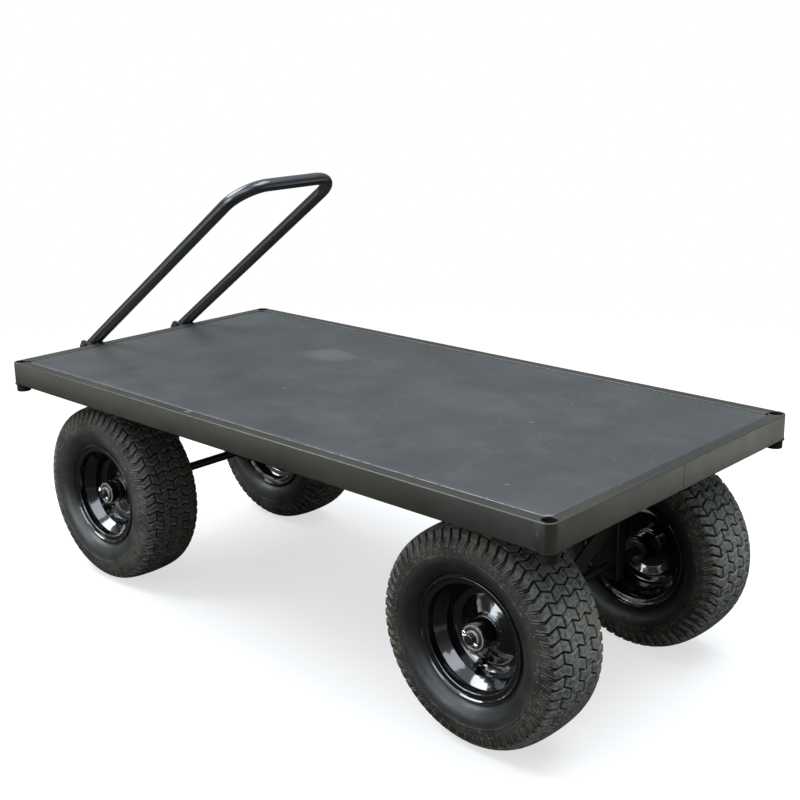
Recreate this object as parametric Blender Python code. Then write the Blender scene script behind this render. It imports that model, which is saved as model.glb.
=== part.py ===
"""Platform trolley on four pneumatic turf wheels, with a folding U handle.

Metres, +Z up, ground at Z = 0.  +X runs along the deck to the tail end, -X is the handle
end, Y runs across: "near" is -Y, "far" is +Y.  Sizes are laid out from the middle of the
deck; the last step slides everything along X to centre the overall length on the origin.
"""

import math

import bmesh
import bpy
from mathutils import Matrix, Vector

# ---------------------------------------------------------------- shared dimensions
GAP = 0.0003              # daylight left between neighbouring pieces
CUT_REACH = 0.01          # how far an upright cutter runs past its piece
BORE_REACH = 0.03         # how far a crosswise bore runs each way from its middle
ROUND_SEG = 20            # sides of sockets, axles and their bores
HALF_STEP = math.pi / ROUND_SEG
SIDES = (("near", -1), ("far", 1))

# deck
DECK_L = 1.524            # overall length of the rim
DECK_W = 0.762            # overall width of the rim
DECK_TOP = 0.491          # top of the rim above the ground
HALF_L, HALF_W = DECK_L / 2, DECK_W / 2
RAIL_H = 0.050            # rim section, tall
RAIL_W = 0.025            # rim section, wide
WALL = 0.0025             # wall of the rim, bearer and leg sections
RAIL_LOW = DECK_TOP - RAIL_H
SOCKET_R = 0.0165         # stake socket tube, outside
SOCKET_BORE_R = 0.0130
SOCKET_DROP = 0.0175      # how far a socket shows under the rim
SOCKET_INSET = 0.0173     # socket centre from both outer faces
SOCKET_X, SOCKET_Y = HALF_L - SOCKET_INSET, HALF_W - SOCKET_INSET
COPE_R = SOCKET_R + 0.0005
RAIL_STOP = 0.006         # rails end this far short of the socket centre
PANEL_T = 0.0025
PANEL_RECESS = 0.0015     # panel top below the rim top
PANEL_CHAMFER = 0.012
PANEL_FIT = 0.0005
PANEL_TOP = DECK_TOP - PANEL_RECESS
PANEL_LOW = PANEL_TOP - PANEL_T
BEARER_H = 0.040
BEARER_TOP = PANEL_LOW - GAP
BEARER_LOW = BEARER_TOP - BEARER_H

# axles and legs
TYRE_R = 0.203
AXLE_Z = TYRE_R
AXLE_R = 0.010
AXLE_END = 0.3125         # axle end, from the centre plane
AXLE_CHAMFER = 0.0012
AXLE_BORE = AXLE_R + 0.0005   # bore of bearings and washers
LEG_BORE = AXLE_R + 0.0004
TAIL_X = 0.541
STEER_X = -0.540
LEG_X, LEG_Y = 0.050, 0.025
LEG_AT = 0.1165           # leg centre, across
LEG_FOOT = 0.178

# strap across the tail legs: bottom edge at each end, height, thickness
TAIL_TIE_NEAR_Z, TAIL_TIE_FAR_Z = 0.180, 0.319
TAIL_TIE_H, TAIL_TIE_T = 0.042, 0.005
# upright bar between the steering legs
STEER_TIE_T = 0.006
STEER_TIE_LOW, STEER_TIE_TOP = 0.310, 0.355

# turntable, from the top down
RING_BEARER_OUT = 0.085   # bearers above the turntable, each way from its centre
PLATE_T = 0.006
PLATE_CHAMFER = 0.030
UPPER_PLATE_HALF = (0.115, 0.130)   # half size in x, y
LOWER_PLATE_HALF = (0.105, 0.132)
RACE_T, RACE_R, RACE_BORE_R, RACE_SEG = 0.008, 0.098, 0.080, 28
PLATE_TOP = BEARER_LOW - GAP
RACE_TOP = PLATE_TOP - PLATE_T - GAP
LOWER_TOP = RACE_TOP - RACE_T - GAP
LOWER_LOW = LOWER_TOP - PLATE_T
KINGPIN_R = AXLE_R
KINGPIN_BORE = KINGPIN_R + 0.0006
KINGPIN_LEN = 0.0480
KINGPIN_HEX_R = 0.0173    # head and nut, across corners / 2
KINGPIN_HEAD_H = 0.0125
KINGPIN_NUT_H = 0.010
HEAD_SINK = 0.0002        # head overlap that joins it to the shank
NUT_SEG = 24              # sides of the ring a nut is cut from
NUT_TRIM = 0.0001         # hexagon corners inside that ring

# handle, brackets and pivots
HANDLE_R = 0.0135
HANDLE_WALL = 0.0025
HANDLE_SEG = 14
HANDLE_HALF = 0.138       # leg centre, across
HANDLE_BEND = 0.071
BEND_STEPS = 8
HANDLE_LEAN = math.radians(54.6)   # from upright, over the deck
HANDLE_LEN = 0.7355       # pivot to the middle of the top bar
HANDLE_TAIL = 0.018       # leg past the pivot
HANDLE_STATION = 0.12     # extra ring up each straight leg
PIVOT_X, PIVOT_Z = -0.808, 0.4768
PIVOT_R = 0.005
PIVOT_SEG = 12
PIVOT_BORE = PIVOT_R + 0.0004
HANDLE_BORE = PIVOT_R + 0.0005
PIVOT_HEX_R, PIVOT_HEAD_H, PIVOT_NUT_H = 0.0092, 0.0064, 0.008
PIVOT_SINK = 0.001        # shank inside the head
PIVOT_PAST = 0.0115       # shank past the inner ear
PIVOT_NUT_GAP = 0.0001
EAR_IN, EAR_T = HANDLE_R + 0.001, 0.004
EAR_OUT = EAR_IN + EAR_T
EAR_ROUND = 0.0158        # ear radius round the pivot
EAR_REACH = 0.016         # ear blank past the pivot
BRACKET_BACK_T = 0.005
BRACKET_BLANK = (0.452, 0.494)      # bottom, top before trimming
BRACKET_LOW, BRACKET_TOP = 0.4530, 0.4860

# wheels
WHEEL_Y = 0.2525          # wheel centre plane
TYRE_SEG, WHEEL_SEG = 28, 22
TREAD_FROM = 0.16         # tyre points outside this radius are pushed out so flats touch it
HUB_HALF = 0.0474
HUB_R = 0.0265
BEARING_R = 0.0235
BEARING_SEAT_R = BEARING_R + 0.0003
BEARING_IN, BEARING_OUT = HUB_HALF - 0.0140, HUB_HALF - 0.0004
WASHER_R, WASHER_T = 0.0145, 0.0022
WASHER_IN = HUB_HALF + 0.0002
VALVE_AT_R, VALVE_OFFSET, VALVE_SEG = 0.0700, 0.0030, 10

# Outlines from here to DISC_IN: (offset from the wheel plane, radius).
# tyre outside, bead to shoulder, then its inside, shoulder to bead
TYRE_SIDE = [
    (0.0400, 0.1022), (0.0529, 0.1022), (0.0529, 0.1163), (0.0680, 0.1250),
    (0.0740, 0.1530), (0.0700, 0.1790), (0.0580, 0.1960),
]
TYRE_IN = [(0.0520, 0.1890), (0.0600, 0.1340)]
# rim: tyre side and hub side, flange to well
RIM_TYRE_SIDE = [
    (0.0595, 0.1147), (0.0535, 0.1135), (0.0535, 0.1016), (0.0330, 0.1000), (0.0270, 0.0860),
]
RIM_HUB_SIDE = [(0.0565, 0.1105), (0.0550, 0.0985), (0.0350, 0.0970), (0.0295, 0.0835)]
# dished disc: face away from the trolley, face towards it, both rim to hub
DISC_OUT = [(0.0050, 0.0820), (-0.0040, 0.0640), (0.0060, 0.0300), (0.0110, HUB_R)]
DISC_IN = [(-0.0040, 0.0820), (-0.0075, 0.0640), (0.0020, 0.0300), (-0.0020, HUB_R)]
# valve: (height above its base, radius)
VALVE = [
    (0, 0.0070), (0.004, 0.0065), (0.007, 0.0040), (0.020, 0.0036),
    (0.0203, 0.0044), (0.029, 0.0044), (0.031, 0.0030),
]

# split pins: the bar slopes down towards +X, through the axle
PIN_SLOPE = math.radians(28)
PIN_LINE = Vector((math.cos(PIN_SLOPE), 0, -math.sin(PIN_SLOPE)))
PIN_Y = 0.3068
PIN_BAR_R, PIN_SEG = 0.0017, 6
PIN_HOLE_R, PIN_HOLE_SEG, PIN_HOLE_REACH = PIN_BAR_R + 0.0005, 10, 0.02
# (along the pin, square to it) from the axle middle: bent tail, then the bar
PIN_BAR = [(0.0165, 0.0062), (0.0163, 0.0030), (0.0145, 0), (-0.0125, 0)]
PIN_EYE = (-0.0165, -0.0038)
PIN_EYE_R = 0.0042
PIN_EYE_ANGLES = [48 + 38 * i for i in range(8)]

# name, axle x, side, valve angle in degrees from +X towards +Z
CORNERS = [
    ("tail_near", TAIL_X, -1, -105),
    ("tail_far", TAIL_X, 1, 60),
    ("steer_near", STEER_X, -1, -136),
    ("steer_far", STEER_X, 1, 150),
]

LOOKS = {
    "deck_paint": dict(colour=(0.060, 0.066, 0.066), roughness=0.42),
    "rim_paint": dict(colour=(0.045, 0.045, 0.040), roughness=0.40),
    "frame_paint": dict(colour=(0.020, 0.020, 0.020), roughness=0.45),
    "wheel_paint": dict(colour=(0.010, 0.010, 0.011), roughness=0.16),
    "handle_paint": dict(colour=(0.016, 0.019, 0.018), roughness=0.25),
    "tyre_rubber": dict(colour=(0.030, 0.030, 0.029), roughness=0.80),
    "valve_rubber": dict(colour=(0.012, 0.012, 0.012), roughness=0.60),
    "bearing_steel": dict(colour=(0.560, 0.550, 0.530), roughness=0.28, metallic=1.0),
    "zinc_plate": dict(colour=(0.600, 0.600, 0.590), roughness=0.32, metallic=1.0),
}
made = []


# ---------------------------------------------------------------- objects
def material(name, colour, roughness, metallic=0.0):
    mat = bpy.data.materials.new(name)
    mat.use_nodes = True
    inputs = mat.node_tree.nodes["Principled BSDF"].inputs
    inputs["Base Color"].default_value = (*colour, 1.0)
    inputs["Roughness"].default_value = roughness
    inputs["Metallic"].default_value = metallic
    mat.diffuse_color = (*colour, 1.0)
    return mat


def link_mesh(name, bm):
    """Turn a bmesh into a linked object."""
    bmesh.ops.recalc_face_normals(bm, faces=bm.faces)
    mesh = bpy.data.meshes.new(name)
    bm.to_mesh(mesh)
    bm.free()
    obj = bpy.data.objects.new(name, mesh)
    bpy.context.scene.collection.objects.link(obj)
    return obj


def piece(name, bm, look, sharp_angle=30.0):
    """A mesh object of its own with its own material."""
    obj = link_mesh(name, bm)
    mesh = obj.data
    mesh.materials.append(material(name + "_mat", **LOOKS[look]))
    mesh.polygons.foreach_set("use_smooth", [True] * len(mesh.polygons))
    mesh.set_sharp_from_angle(angle=math.radians(sharp_angle))
    made.append(obj)
    return obj


def carve(obj, cutter, operation="DIFFERENCE"):
    """Combine with a closed solid and keep the result, leaving no cutter behind."""
    tool = link_mesh("cutter", cutter)
    tool_mesh = tool.data
    cut = obj.modifiers.new("cut", "BOOLEAN")
    cut.operation = operation
    cut.solver = "EXACT"
    cut.object = tool
    bpy.context.view_layer.update()
    depsgraph = bpy.context.evaluated_depsgraph_get()
    result = bpy.data.meshes.new_from_object(obj.evaluated_get(depsgraph))
    obj.modifiers.remove(cut)
    old = obj.data
    obj.data = result
    result.name = obj.name
    bpy.data.objects.remove(tool, do_unlink=True)
    bpy.data.meshes.remove(old)
    bpy.data.meshes.remove(tool_mesh)


def set_origin(obj, at):
    """Move the object's origin onto its joint without moving the shape."""
    obj.data.transform(Matrix.Translation(-Vector(at)))
    obj.location = at


# ---------------------------------------------------------------- outlines
def circle(centre, radius, count, turn=0.0):
    angles = [turn + 2 * math.pi * i / count for i in range(count)]
    return [(centre[0] + radius * math.cos(a), centre[1] + radius * math.sin(a)) for a in angles]


def round_outline(centre, radius):
    """The usual circle, with flats rather than corners on its axes."""
    return circle(centre, radius, ROUND_SEG, HALF_STEP)


def rect(a_low, a_high, b_low, b_high):
    return [(a_low, b_low), (a_high, b_low), (a_high, b_high), (a_low, b_high)]


def clipped_rect(half_x, half_y, clip, mid_x=0.0):
    """Rectangle with its four corners cut off."""
    right = [(half_x - clip, -half_y), (half_x, -half_y + clip)]
    right += [(px, -py) for px, py in reversed(right)]
    return [(mid_x + px, py) for px, py in right + [(-px, py) for px, py in reversed(right)]]


def mirror(profile):
    """A wheel outline carried over to the other side of the wheel plane."""
    return [(-offset, radius) for offset, radius in reversed(profile)]


# ---------------------------------------------------------------- solids
def raise_outline(bm, points, height, axis):
    """Vertices of an outline at a height.  Outline is (x, y) for Z, (x, z) for Y, (y, z) for X."""
    slot = "XYZ".index(axis)
    return [bm.verts.new((*p[:slot], height, *p[slot:])) for p in points]


def bridge(bm, first, second):
    """Quads between two closed loops of vertices."""
    count = len(first)
    for i in range(count):
        j = (i + 1) % count
        bm.faces.new((first[i], first[j], second[j], second[i]))


def prism(points, low, high, axis="Z"):
    """A flat outline pushed along an axis."""
    bm = bmesh.new()
    bottom = raise_outline(bm, points, low, axis)
    top = raise_outline(bm, points, high, axis)
    bm.faces.new(bottom)
    bm.faces.new(top)
    bridge(bm, bottom, top)
    return bm


def hollow(outer, inner, low, high, axis):
    """Open-ended hollow section: two outlines with the same number of corners."""
    bm = bmesh.new()
    outer_low, outer_high, inner_low, inner_high = [
        raise_outline(bm, outline, height, axis)
        for outline in (outer, inner) for height in (low, high)
    ]
    bridge(bm, outer_low, outer_high)
    bridge(bm, inner_low, inner_high)
    bridge(bm, outer_low, inner_low)
    bridge(bm, outer_high, inner_high)
    return bm


def box_section(a_low, a_high, b_low, b_high, low, high, axis):
    """Rectangular tube with the frame's wall."""
    inner = rect(a_low + WALL, a_high - WALL, b_low + WALL, b_high - WALL)
    return hollow(rect(a_low, a_high, b_low, b_high), inner, low, high, axis)


def lathe(profile, count, centre, side, turn=0.0):
    """Closed outline (offset, radius) turned about a Y line; offset grows towards side."""
    bm = bmesh.new()
    x, y, z = centre
    rings = []
    for i in range(count):
        angle = turn + 2 * math.pi * i / count
        rings.append([
            bm.verts.new((x + r * math.cos(angle), y + side * offset, z + r * math.sin(angle)))
            for offset, r in profile
        ])
    for i in range(count):
        bridge(bm, rings[i], rings[(i + 1) % count])
    return bm


def wheel_ring(bore, radius, start, end, centre, side):
    """Plain ring on the axle line, between two offsets from the wheel plane."""
    profile = [(start, bore), (start, radius), (end, radius), (end, bore)]
    return lathe(profile, ROUND_SEG, centre, side, HALF_STEP)


def spindle(profile, count, base, direction, turn=0.0):
    """Solid turned about a line, from (distance along, radius), with capped ends."""
    bm = bmesh.new()
    along = Vector(direction).normalized()
    across = along.orthogonal().normalized()
    third = along.cross(across)
    angles = [turn + 2 * math.pi * i / count for i in range(count)]
    rings = []
    for distance, radius in profile:
        middle = Vector(base) + along * distance
        rings.append([
            bm.verts.new(middle + (across * math.cos(a) + third * math.sin(a)) * radius)
            for a in angles
        ])
    for first, second in zip(rings, rings[1:]):
        bridge(bm, first, second)
    bm.faces.new(rings[0])
    bm.faces.new(rings[-1])
    return bm


def rod(base, direction, length, radius, count, turn=0.0):
    return spindle([(0, radius), (length, radius)], count, base, direction, turn)


def bore_across(obj, x, y, z, radius, count, turn=0.0):
    """Drill a hole along Y."""
    carve(obj, rod((x, y - BORE_REACH, z), (0, 1, 0), 2 * BORE_REACH, radius, count, turn))


def hex_nut(name, centre, hex_r, bore, low, high, axis):
    ring = hollow(circle(centre, hex_r, NUT_SEG), circle(centre, bore, NUT_SEG), low, high, axis)
    nut = piece(name, ring, "zinc_plate")
    hexagon = circle(centre, hex_r - NUT_TRIM, 6)
    carve(nut, prism(hexagon, low - CUT_REACH, high + CUT_REACH, axis), "INTERSECT")


def sweep(path, radii, count, up):
    """Round bar (one radius) or open tube (two) along a flat path; up is square to its plane."""
    bm = bmesh.new()
    up = Vector(up).normalized()
    last = len(path) - 1
    skins = []
    for radius in radii:
        rings = []
        for i, point in enumerate(path):
            ahead = path[min(i + 1, last)]
            tangent = (ahead - path[max(i - 1, 0)]).normalized()
            across = up.cross(tangent).normalized()
            # rings at bends widen so the bar keeps its thickness
            squeeze = 1.0
            if 0 < i < last:
                squeeze = max(0.5, tangent.dot((ahead - point).normalized()))
            angles = [2 * math.pi * k / count for k in range(count)]
            rings.append([
                bm.verts.new(point + across * (math.cos(a) * radius / squeeze)
                             + up * (math.sin(a) * radius))
                for a in angles
            ])
        for first, second in zip(rings, rings[1:]):
            bridge(bm, first, second)
        skins.append(rings)
    for end in (0, -1):
        if len(skins) == 1:
            bm.faces.new(skins[0][end])
        else:
            bridge(bm, skins[0][end], skins[1][end])
    return bm


# ---------------------------------------------------------------- deck
def build_rail(name, axis, side):
    """One rim rail along an axis, its ends coped round the corner sockets."""
    along_x = axis == "X"
    face = HALF_W if along_x else HALF_L
    end = (SOCKET_X if along_x else SOCKET_Y) - RAIL_STOP
    low, high = sorted((side * face, side * (face - RAIL_W)))
    rail = piece(name, box_section(low, high, RAIL_LOW, DECK_TOP, -end, end, axis), "rim_paint")
    for other in (-1, 1):
        sign_x, sign_y = (other, side) if along_x else (side, other)
        cope = round_outline((sign_x * SOCKET_X, sign_y * SOCKET_Y), COPE_R)
        carve(rail, prism(cope, RAIL_LOW - CUT_REACH, DECK_TOP + CUT_REACH))


def build_socket(name, sign_x, sign_y):
    centre = (sign_x * SOCKET_X, sign_y * SOCKET_Y)
    outer, bore = round_outline(centre, SOCKET_R), round_outline(centre, SOCKET_BORE_R)
    piece(name, hollow(outer, bore, RAIL_LOW - SOCKET_DROP, DECK_TOP, "Z"), "rim_paint")


def build_panel():
    inset = RAIL_W + PANEL_FIT
    outline = clipped_rect(HALF_L - inset, HALF_W - inset, PANEL_CHAMFER)
    piece("deck_panel", prism(outline, PANEL_LOW, PANEL_TOP), "deck_paint")


def build_bearer(name, x, width):
    end = HALF_W - RAIL_W - GAP
    tube = box_section(x - width / 2, x + width / 2, BEARER_LOW, BEARER_TOP, -end, end, "Y")
    piece(name, tube, "frame_paint")


def build_deck():
    build_rail("rail_near", "X", -1)
    build_rail("rail_far", "X", 1)
    build_rail("rail_handle_end", "Y", -1)
    build_rail("rail_tail_end", "Y", 1)
    for end_name, end in (("handle", -1), ("tail", 1)):
        for side_name, side in SIDES:
            build_socket(f"socket_{end_name}_{side_name}", end, side)
    build_panel()
    build_bearer("bearer_tail", TAIL_X, 0.050)
    build_bearer("bearer_mid_tail", 0.180, 0.025)
    build_bearer("bearer_mid_handle", -0.180, 0.025)
    build_bearer("bearer_ring_tail", STEER_X + RING_BEARER_OUT, 0.025)
    build_bearer("bearer_ring_handle", STEER_X - RING_BEARER_OUT, 0.025)


# ---------------------------------------------------------------- axle carriers
def build_carrier(prefix, x, leg_top):
    """Two legs and the axle through them."""
    for side_name, side in SIDES:
        y = side * LEG_AT
        tube = box_section(x - LEG_X / 2, x + LEG_X / 2, y - LEG_Y / 2, y + LEG_Y / 2,
                           LEG_FOOT, leg_top, "Z")
        leg = piece(f"{prefix}_leg_{side_name}", tube, "frame_paint")
        bore_across(leg, x, y, AXLE_Z, LEG_BORE, ROUND_SEG, HALF_STEP)
    length, tip_r = 2 * AXLE_END, AXLE_R - AXLE_CHAMFER
    profile = [(0, tip_r), (AXLE_CHAMFER, AXLE_R), (length - AXLE_CHAMFER, AXLE_R), (length, tip_r)]
    bar = spindle(profile, ROUND_SEG, (x, -AXLE_END, AXLE_Z), (0, 1, 0))
    axle = piece(prefix + "_axle", bar, "frame_paint")
    for side in (-1, 1):
        start = Vector((x, side * PIN_Y, AXLE_Z)) - PIN_LINE * PIN_HOLE_REACH
        carve(axle, rod(start, PIN_LINE, 2 * PIN_HOLE_REACH, PIN_HOLE_R, PIN_HOLE_SEG))


def build_tail_tie():
    """Diagonal strap on the tail faces of the two tail legs."""
    end = LEG_AT + LEG_Y / 2
    low = TAIL_X + LEG_X / 2 + GAP
    outline = [
        (-end, TAIL_TIE_NEAR_Z), (-end, TAIL_TIE_NEAR_Z + TAIL_TIE_H),
        (end, TAIL_TIE_FAR_Z + TAIL_TIE_H), (end, TAIL_TIE_FAR_Z),
    ]
    piece("tail_tie", prism(outline, low, low + TAIL_TIE_T, "X"), "frame_paint")


def build_steer_tie():
    end = LEG_AT - LEG_Y / 2 - GAP
    outline = rect(STEER_X - STEER_TIE_T / 2, STEER_X + STEER_TIE_T / 2, -end, end)
    piece("steer_tie", prism(outline, STEER_TIE_LOW, STEER_TIE_TOP), "frame_paint")


def build_ring_plate(name, half_size, low, high):
    outline = clipped_rect(*half_size, PLATE_CHAMFER, STEER_X)
    plate = piece(name, prism(outline, low, high), "frame_paint")
    hole = round_outline((STEER_X, 0), KINGPIN_BORE)
    carve(plate, prism(hole, low - CUT_REACH, high + CUT_REACH))


def build_turntable():
    """Plate under the bearers, ball race, lower plate, and the kingpin through them."""
    build_ring_plate("ring_plate_upper", UPPER_PLATE_HALF, PLATE_TOP - PLATE_T, PLATE_TOP)
    build_ring_plate("ring_plate_lower", LOWER_PLATE_HALF, LOWER_LOW, LOWER_TOP)
    centre = (STEER_X, 0)
    outer, inner = circle(centre, RACE_R, RACE_SEG), circle(centre, RACE_BORE_R, RACE_SEG)
    piece("ring_race", hollow(outer, inner, RACE_TOP - RACE_T, RACE_TOP, "Z"), "bearing_steel")
    seat = PLATE_TOP + GAP
    shank = rod((*centre, seat - KINGPIN_LEN), (0, 0, 1), KINGPIN_LEN, KINGPIN_R, ROUND_SEG)
    bolt = piece("kingpin_bolt", shank, "zinc_plate")
    hexagon = circle(centre, KINGPIN_HEX_R, 6)
    carve(bolt, prism(hexagon, seat - HEAD_SINK, seat + KINGPIN_HEAD_H), "UNION")
    nut_top = LOWER_LOW - GAP
    hex_nut("kingpin_nut", centre, KINGPIN_HEX_R, KINGPIN_BORE,
            nut_top - KINGPIN_NUT_H, nut_top, "Z")


# ---------------------------------------------------------------- handle
def build_handle():
    """U of tube, open end at the pivots."""
    lean = Vector((math.sin(HANDLE_LEAN), 0, math.cos(HANDLE_LEAN)))
    bend_from = HANDLE_LEN - HANDLE_BEND
    # one leg and its bend: (along the leg from the pivot, across)
    half = [(-HANDLE_TAIL, HANDLE_HALF), (HANDLE_STATION, HANDLE_HALF)]
    for i in range(BEND_STEPS + 1):
        angle = math.radians(90) * i / BEND_STEPS
        half.append((bend_from + HANDLE_BEND * math.sin(angle),
                     HANDLE_HALF - HANDLE_BEND * (1 - math.cos(angle))))
    stations = [(along, -across) for along, across in half] + half[::-1]
    foot = Vector((PIVOT_X, 0, PIVOT_Z))
    path = [foot + lean * along + Vector((0, across, 0)) for along, across in stations]
    square = lean.cross(Vector((0, 1, 0)))
    tube = sweep(path, (HANDLE_R, HANDLE_R - HANDLE_WALL), HANDLE_SEG, square)
    handle = piece("handle_tube", tube, "handle_paint")
    for side in (-1, 1):
        bore_across(handle, PIVOT_X, side * HANDLE_HALF, PIVOT_Z, HANDLE_BORE, PIVOT_SEG)
    set_origin(handle, foot)


def build_bracket(side_name, y):
    """Channel on the deck end, open to -X, its two ears rounded about the pivot."""
    face = -HALF_L - GAP
    back = face - BRACKET_BACK_T
    tip = PIVOT_X - EAR_REACH
    plan = [
        (face, -EAR_OUT), (face, EAR_OUT), (tip, EAR_OUT), (tip, EAR_IN),
        (back, EAR_IN), (back, -EAR_IN), (tip, -EAR_IN), (tip, -EAR_OUT),
    ]
    blank = prism([(x, y + across) for x, across in plan], *BRACKET_BLANK)
    bracket = piece("bracket_" + side_name, blank, "frame_paint")
    beyond = face + 0.001
    side_view = [(beyond, BRACKET_LOW), (beyond, BRACKET_TOP), (back - 0.003, BRACKET_TOP)]
    for i in range(10):
        # over the top of the pivot and down, 72 to 215 degrees
        angle = math.radians(72 + 143 * i / 9)
        side_view.append((PIVOT_X + EAR_ROUND * math.cos(angle),
                          PIVOT_Z + EAR_ROUND * math.sin(angle)))
    side_view.append((back - 0.020, BRACKET_LOW))
    carve(bracket, prism(side_view, y - 0.04, y + 0.04, "Y"), "INTERSECT")
    bore_across(bracket, PIVOT_X, y, PIVOT_Z, PIVOT_BORE, PIVOT_SEG)


def build_pivot(side_name, side, y):
    """Bolt with its head away from the centre plane, and a nut on the other ear."""
    half = EAR_OUT + GAP
    direction = (0, -side, 0)
    start = (PIVOT_X, y + side * half, PIVOT_Z)
    shank = [(-PIVOT_SINK, PIVOT_R), (2 * half + PIVOT_PAST, PIVOT_R)]
    bolt = piece("pivot_bolt_" + side_name,
                 spindle(shank, PIVOT_SEG, start, direction), "zinc_plate")
    head = [(-PIVOT_HEAD_H, PIVOT_HEX_R), (0, PIVOT_HEX_R)]
    carve(bolt, spindle(head, 6, start, direction), "UNION")
    nut_face = half + PIVOT_NUT_GAP
    low, high = sorted((y - side * nut_face, y - side * (nut_face + PIVOT_NUT_H)))
    hex_nut("pivot_nut_" + side_name, (PIVOT_X, PIVOT_Z), PIVOT_HEX_R, PIVOT_BORE, low, high, "Y")


# ---------------------------------------------------------------- wheels
def tyre_mesh(centre, side):
    profile = TYRE_SIDE + [(0.0, TYRE_R)] + mirror(TYRE_SIDE) + mirror(TYRE_IN) + TYRE_IN
    push = 1 / math.cos(math.pi / TYRE_SEG)
    profile = [(offset, r * (push if r > TREAD_FROM else 1.0)) for offset, r in profile]
    return lathe(profile, TYRE_SEG, centre, side, math.pi / TYRE_SEG + math.pi / 2)


def wheel_mesh(centre, side):
    """Pressed steel skin: rim, dished disc and hub tube in one outline."""
    hub = [
        (-HUB_HALF, HUB_R), (-HUB_HALF, BEARING_SEAT_R),
        (HUB_HALF, BEARING_SEAT_R), (HUB_HALF, HUB_R),
    ]
    profile = RIM_TYRE_SIDE + mirror(RIM_TYRE_SIDE) + mirror(RIM_HUB_SIDE)[::-1]
    profile += DISC_IN + hub + DISC_OUT[::-1] + RIM_HUB_SIDE[::-1]
    return lathe(profile, WHEEL_SEG, centre, side)


def valve_mesh(centre, side, degrees):
    angle = math.radians(degrees)
    base = Vector(centre) + Vector((VALVE_AT_R * math.cos(angle), side * VALVE_OFFSET,
                                    VALVE_AT_R * math.sin(angle)))
    return spindle(VALVE, VALVE_SEG, base, (0, side, 0))


def split_pin_mesh(x, side):
    """Bent tail, bar through the axle, and an eye on the upper side."""
    middle = Vector((x, side * PIN_Y, AXLE_Z))
    outward = Vector((0, side, 0))
    across = PIN_LINE.cross(outward)
    points = list(PIN_BAR)
    for degrees in PIN_EYE_ANGLES:
        angle = math.radians(degrees)
        points.append((PIN_EYE[0] + PIN_EYE_R * math.cos(angle),
                       PIN_EYE[1] + PIN_EYE_R * math.sin(angle)))
    path = [middle + PIN_LINE * along + across * square for along, square in points]
    return sweep(path, (PIN_BAR_R,), PIN_SEG, outward)


def build_corner(tag, x, side, valve_degrees):
    centre = (x, side * WHEEL_Y, AXLE_Z)
    bearing = wheel_ring(AXLE_BORE, BEARING_R, BEARING_IN, BEARING_OUT, centre, side)
    valve = valve_mesh(centre, side, valve_degrees)
    turning = [
        piece("tyre_" + tag, tyre_mesh(centre, side), "tyre_rubber", sharp_angle=50),
        piece("wheel_" + tag, wheel_mesh(centre, side), "wheel_paint", sharp_angle=40),
        piece("bearing_" + tag, bearing, "bearing_steel"),
        piece("valve_" + tag, valve, "valve_rubber"),
    ]
    for obj in turning:
        set_origin(obj, centre)
    washer = wheel_ring(AXLE_BORE, WASHER_R, WASHER_IN, WASHER_IN + WASHER_T, centre, side)
    piece("washer_" + tag, washer, "zinc_plate")
    piece("split_pin_" + tag, split_pin_mesh(x, side), "zinc_plate")


def centre_length():
    """Slide every piece so the overall length is centred on the origin."""
    bpy.context.view_layer.update()
    xs = [(obj.matrix_world @ v.co).x for obj in made for v in obj.data.vertices]
    shift = -(min(xs) + max(xs)) / 2
    for obj in made:
        obj.location.x += shift


for old_object in list(bpy.data.objects):
    bpy.data.objects.remove(old_object, do_unlink=True)
build_deck()
build_carrier("tail", TAIL_X, BEARER_LOW - GAP)
build_tail_tie()
build_turntable()
build_carrier("steer", STEER_X, LOWER_LOW - GAP)
build_steer_tie()
build_handle()
for side_label, side_sign in SIDES:
    build_bracket(side_label, side_sign * HANDLE_HALF)
    build_pivot(side_label, side_sign, side_sign * HANDLE_HALF)
for corner in CORNERS:
    build_corner(*corner)
centre_length()
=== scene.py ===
"""Looks for a flat platform trolley: pneumatic tyres, steered front axle, folding bow handle.

The floor is z = 0. X runs from the handle end (low) to the tail end (high); the near
side is -Y. Most sizes are read from the CAD boxes, the others are in metres. Wheel parts are drawn
about the Y axis with offsets counted towards -Y, then turned round for the far side.
"""
import math
import random
from math import cos, pi, radians, sin

import bmesh
import bpy
import numpy as np
from mathutils import Matrix, Vector, noise


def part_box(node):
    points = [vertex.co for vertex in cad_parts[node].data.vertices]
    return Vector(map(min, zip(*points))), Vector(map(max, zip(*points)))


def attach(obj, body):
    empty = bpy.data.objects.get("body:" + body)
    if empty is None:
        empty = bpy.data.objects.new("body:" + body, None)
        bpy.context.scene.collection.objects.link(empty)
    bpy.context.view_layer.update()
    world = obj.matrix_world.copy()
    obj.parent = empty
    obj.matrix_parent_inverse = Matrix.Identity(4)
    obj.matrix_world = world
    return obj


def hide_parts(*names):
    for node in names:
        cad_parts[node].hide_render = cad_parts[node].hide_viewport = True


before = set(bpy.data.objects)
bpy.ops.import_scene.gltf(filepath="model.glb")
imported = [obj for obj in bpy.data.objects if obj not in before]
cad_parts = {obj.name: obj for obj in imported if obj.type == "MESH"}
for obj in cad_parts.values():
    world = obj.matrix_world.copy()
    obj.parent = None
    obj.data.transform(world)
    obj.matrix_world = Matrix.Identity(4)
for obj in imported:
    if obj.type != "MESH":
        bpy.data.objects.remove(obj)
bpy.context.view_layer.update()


def box(name):
    """Low and high corners of a CAD piece."""
    low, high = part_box(name)
    return Vector(low), Vector(high)


def centre(name):
    low, high = box(name)
    return (low + high) / 2


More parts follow.
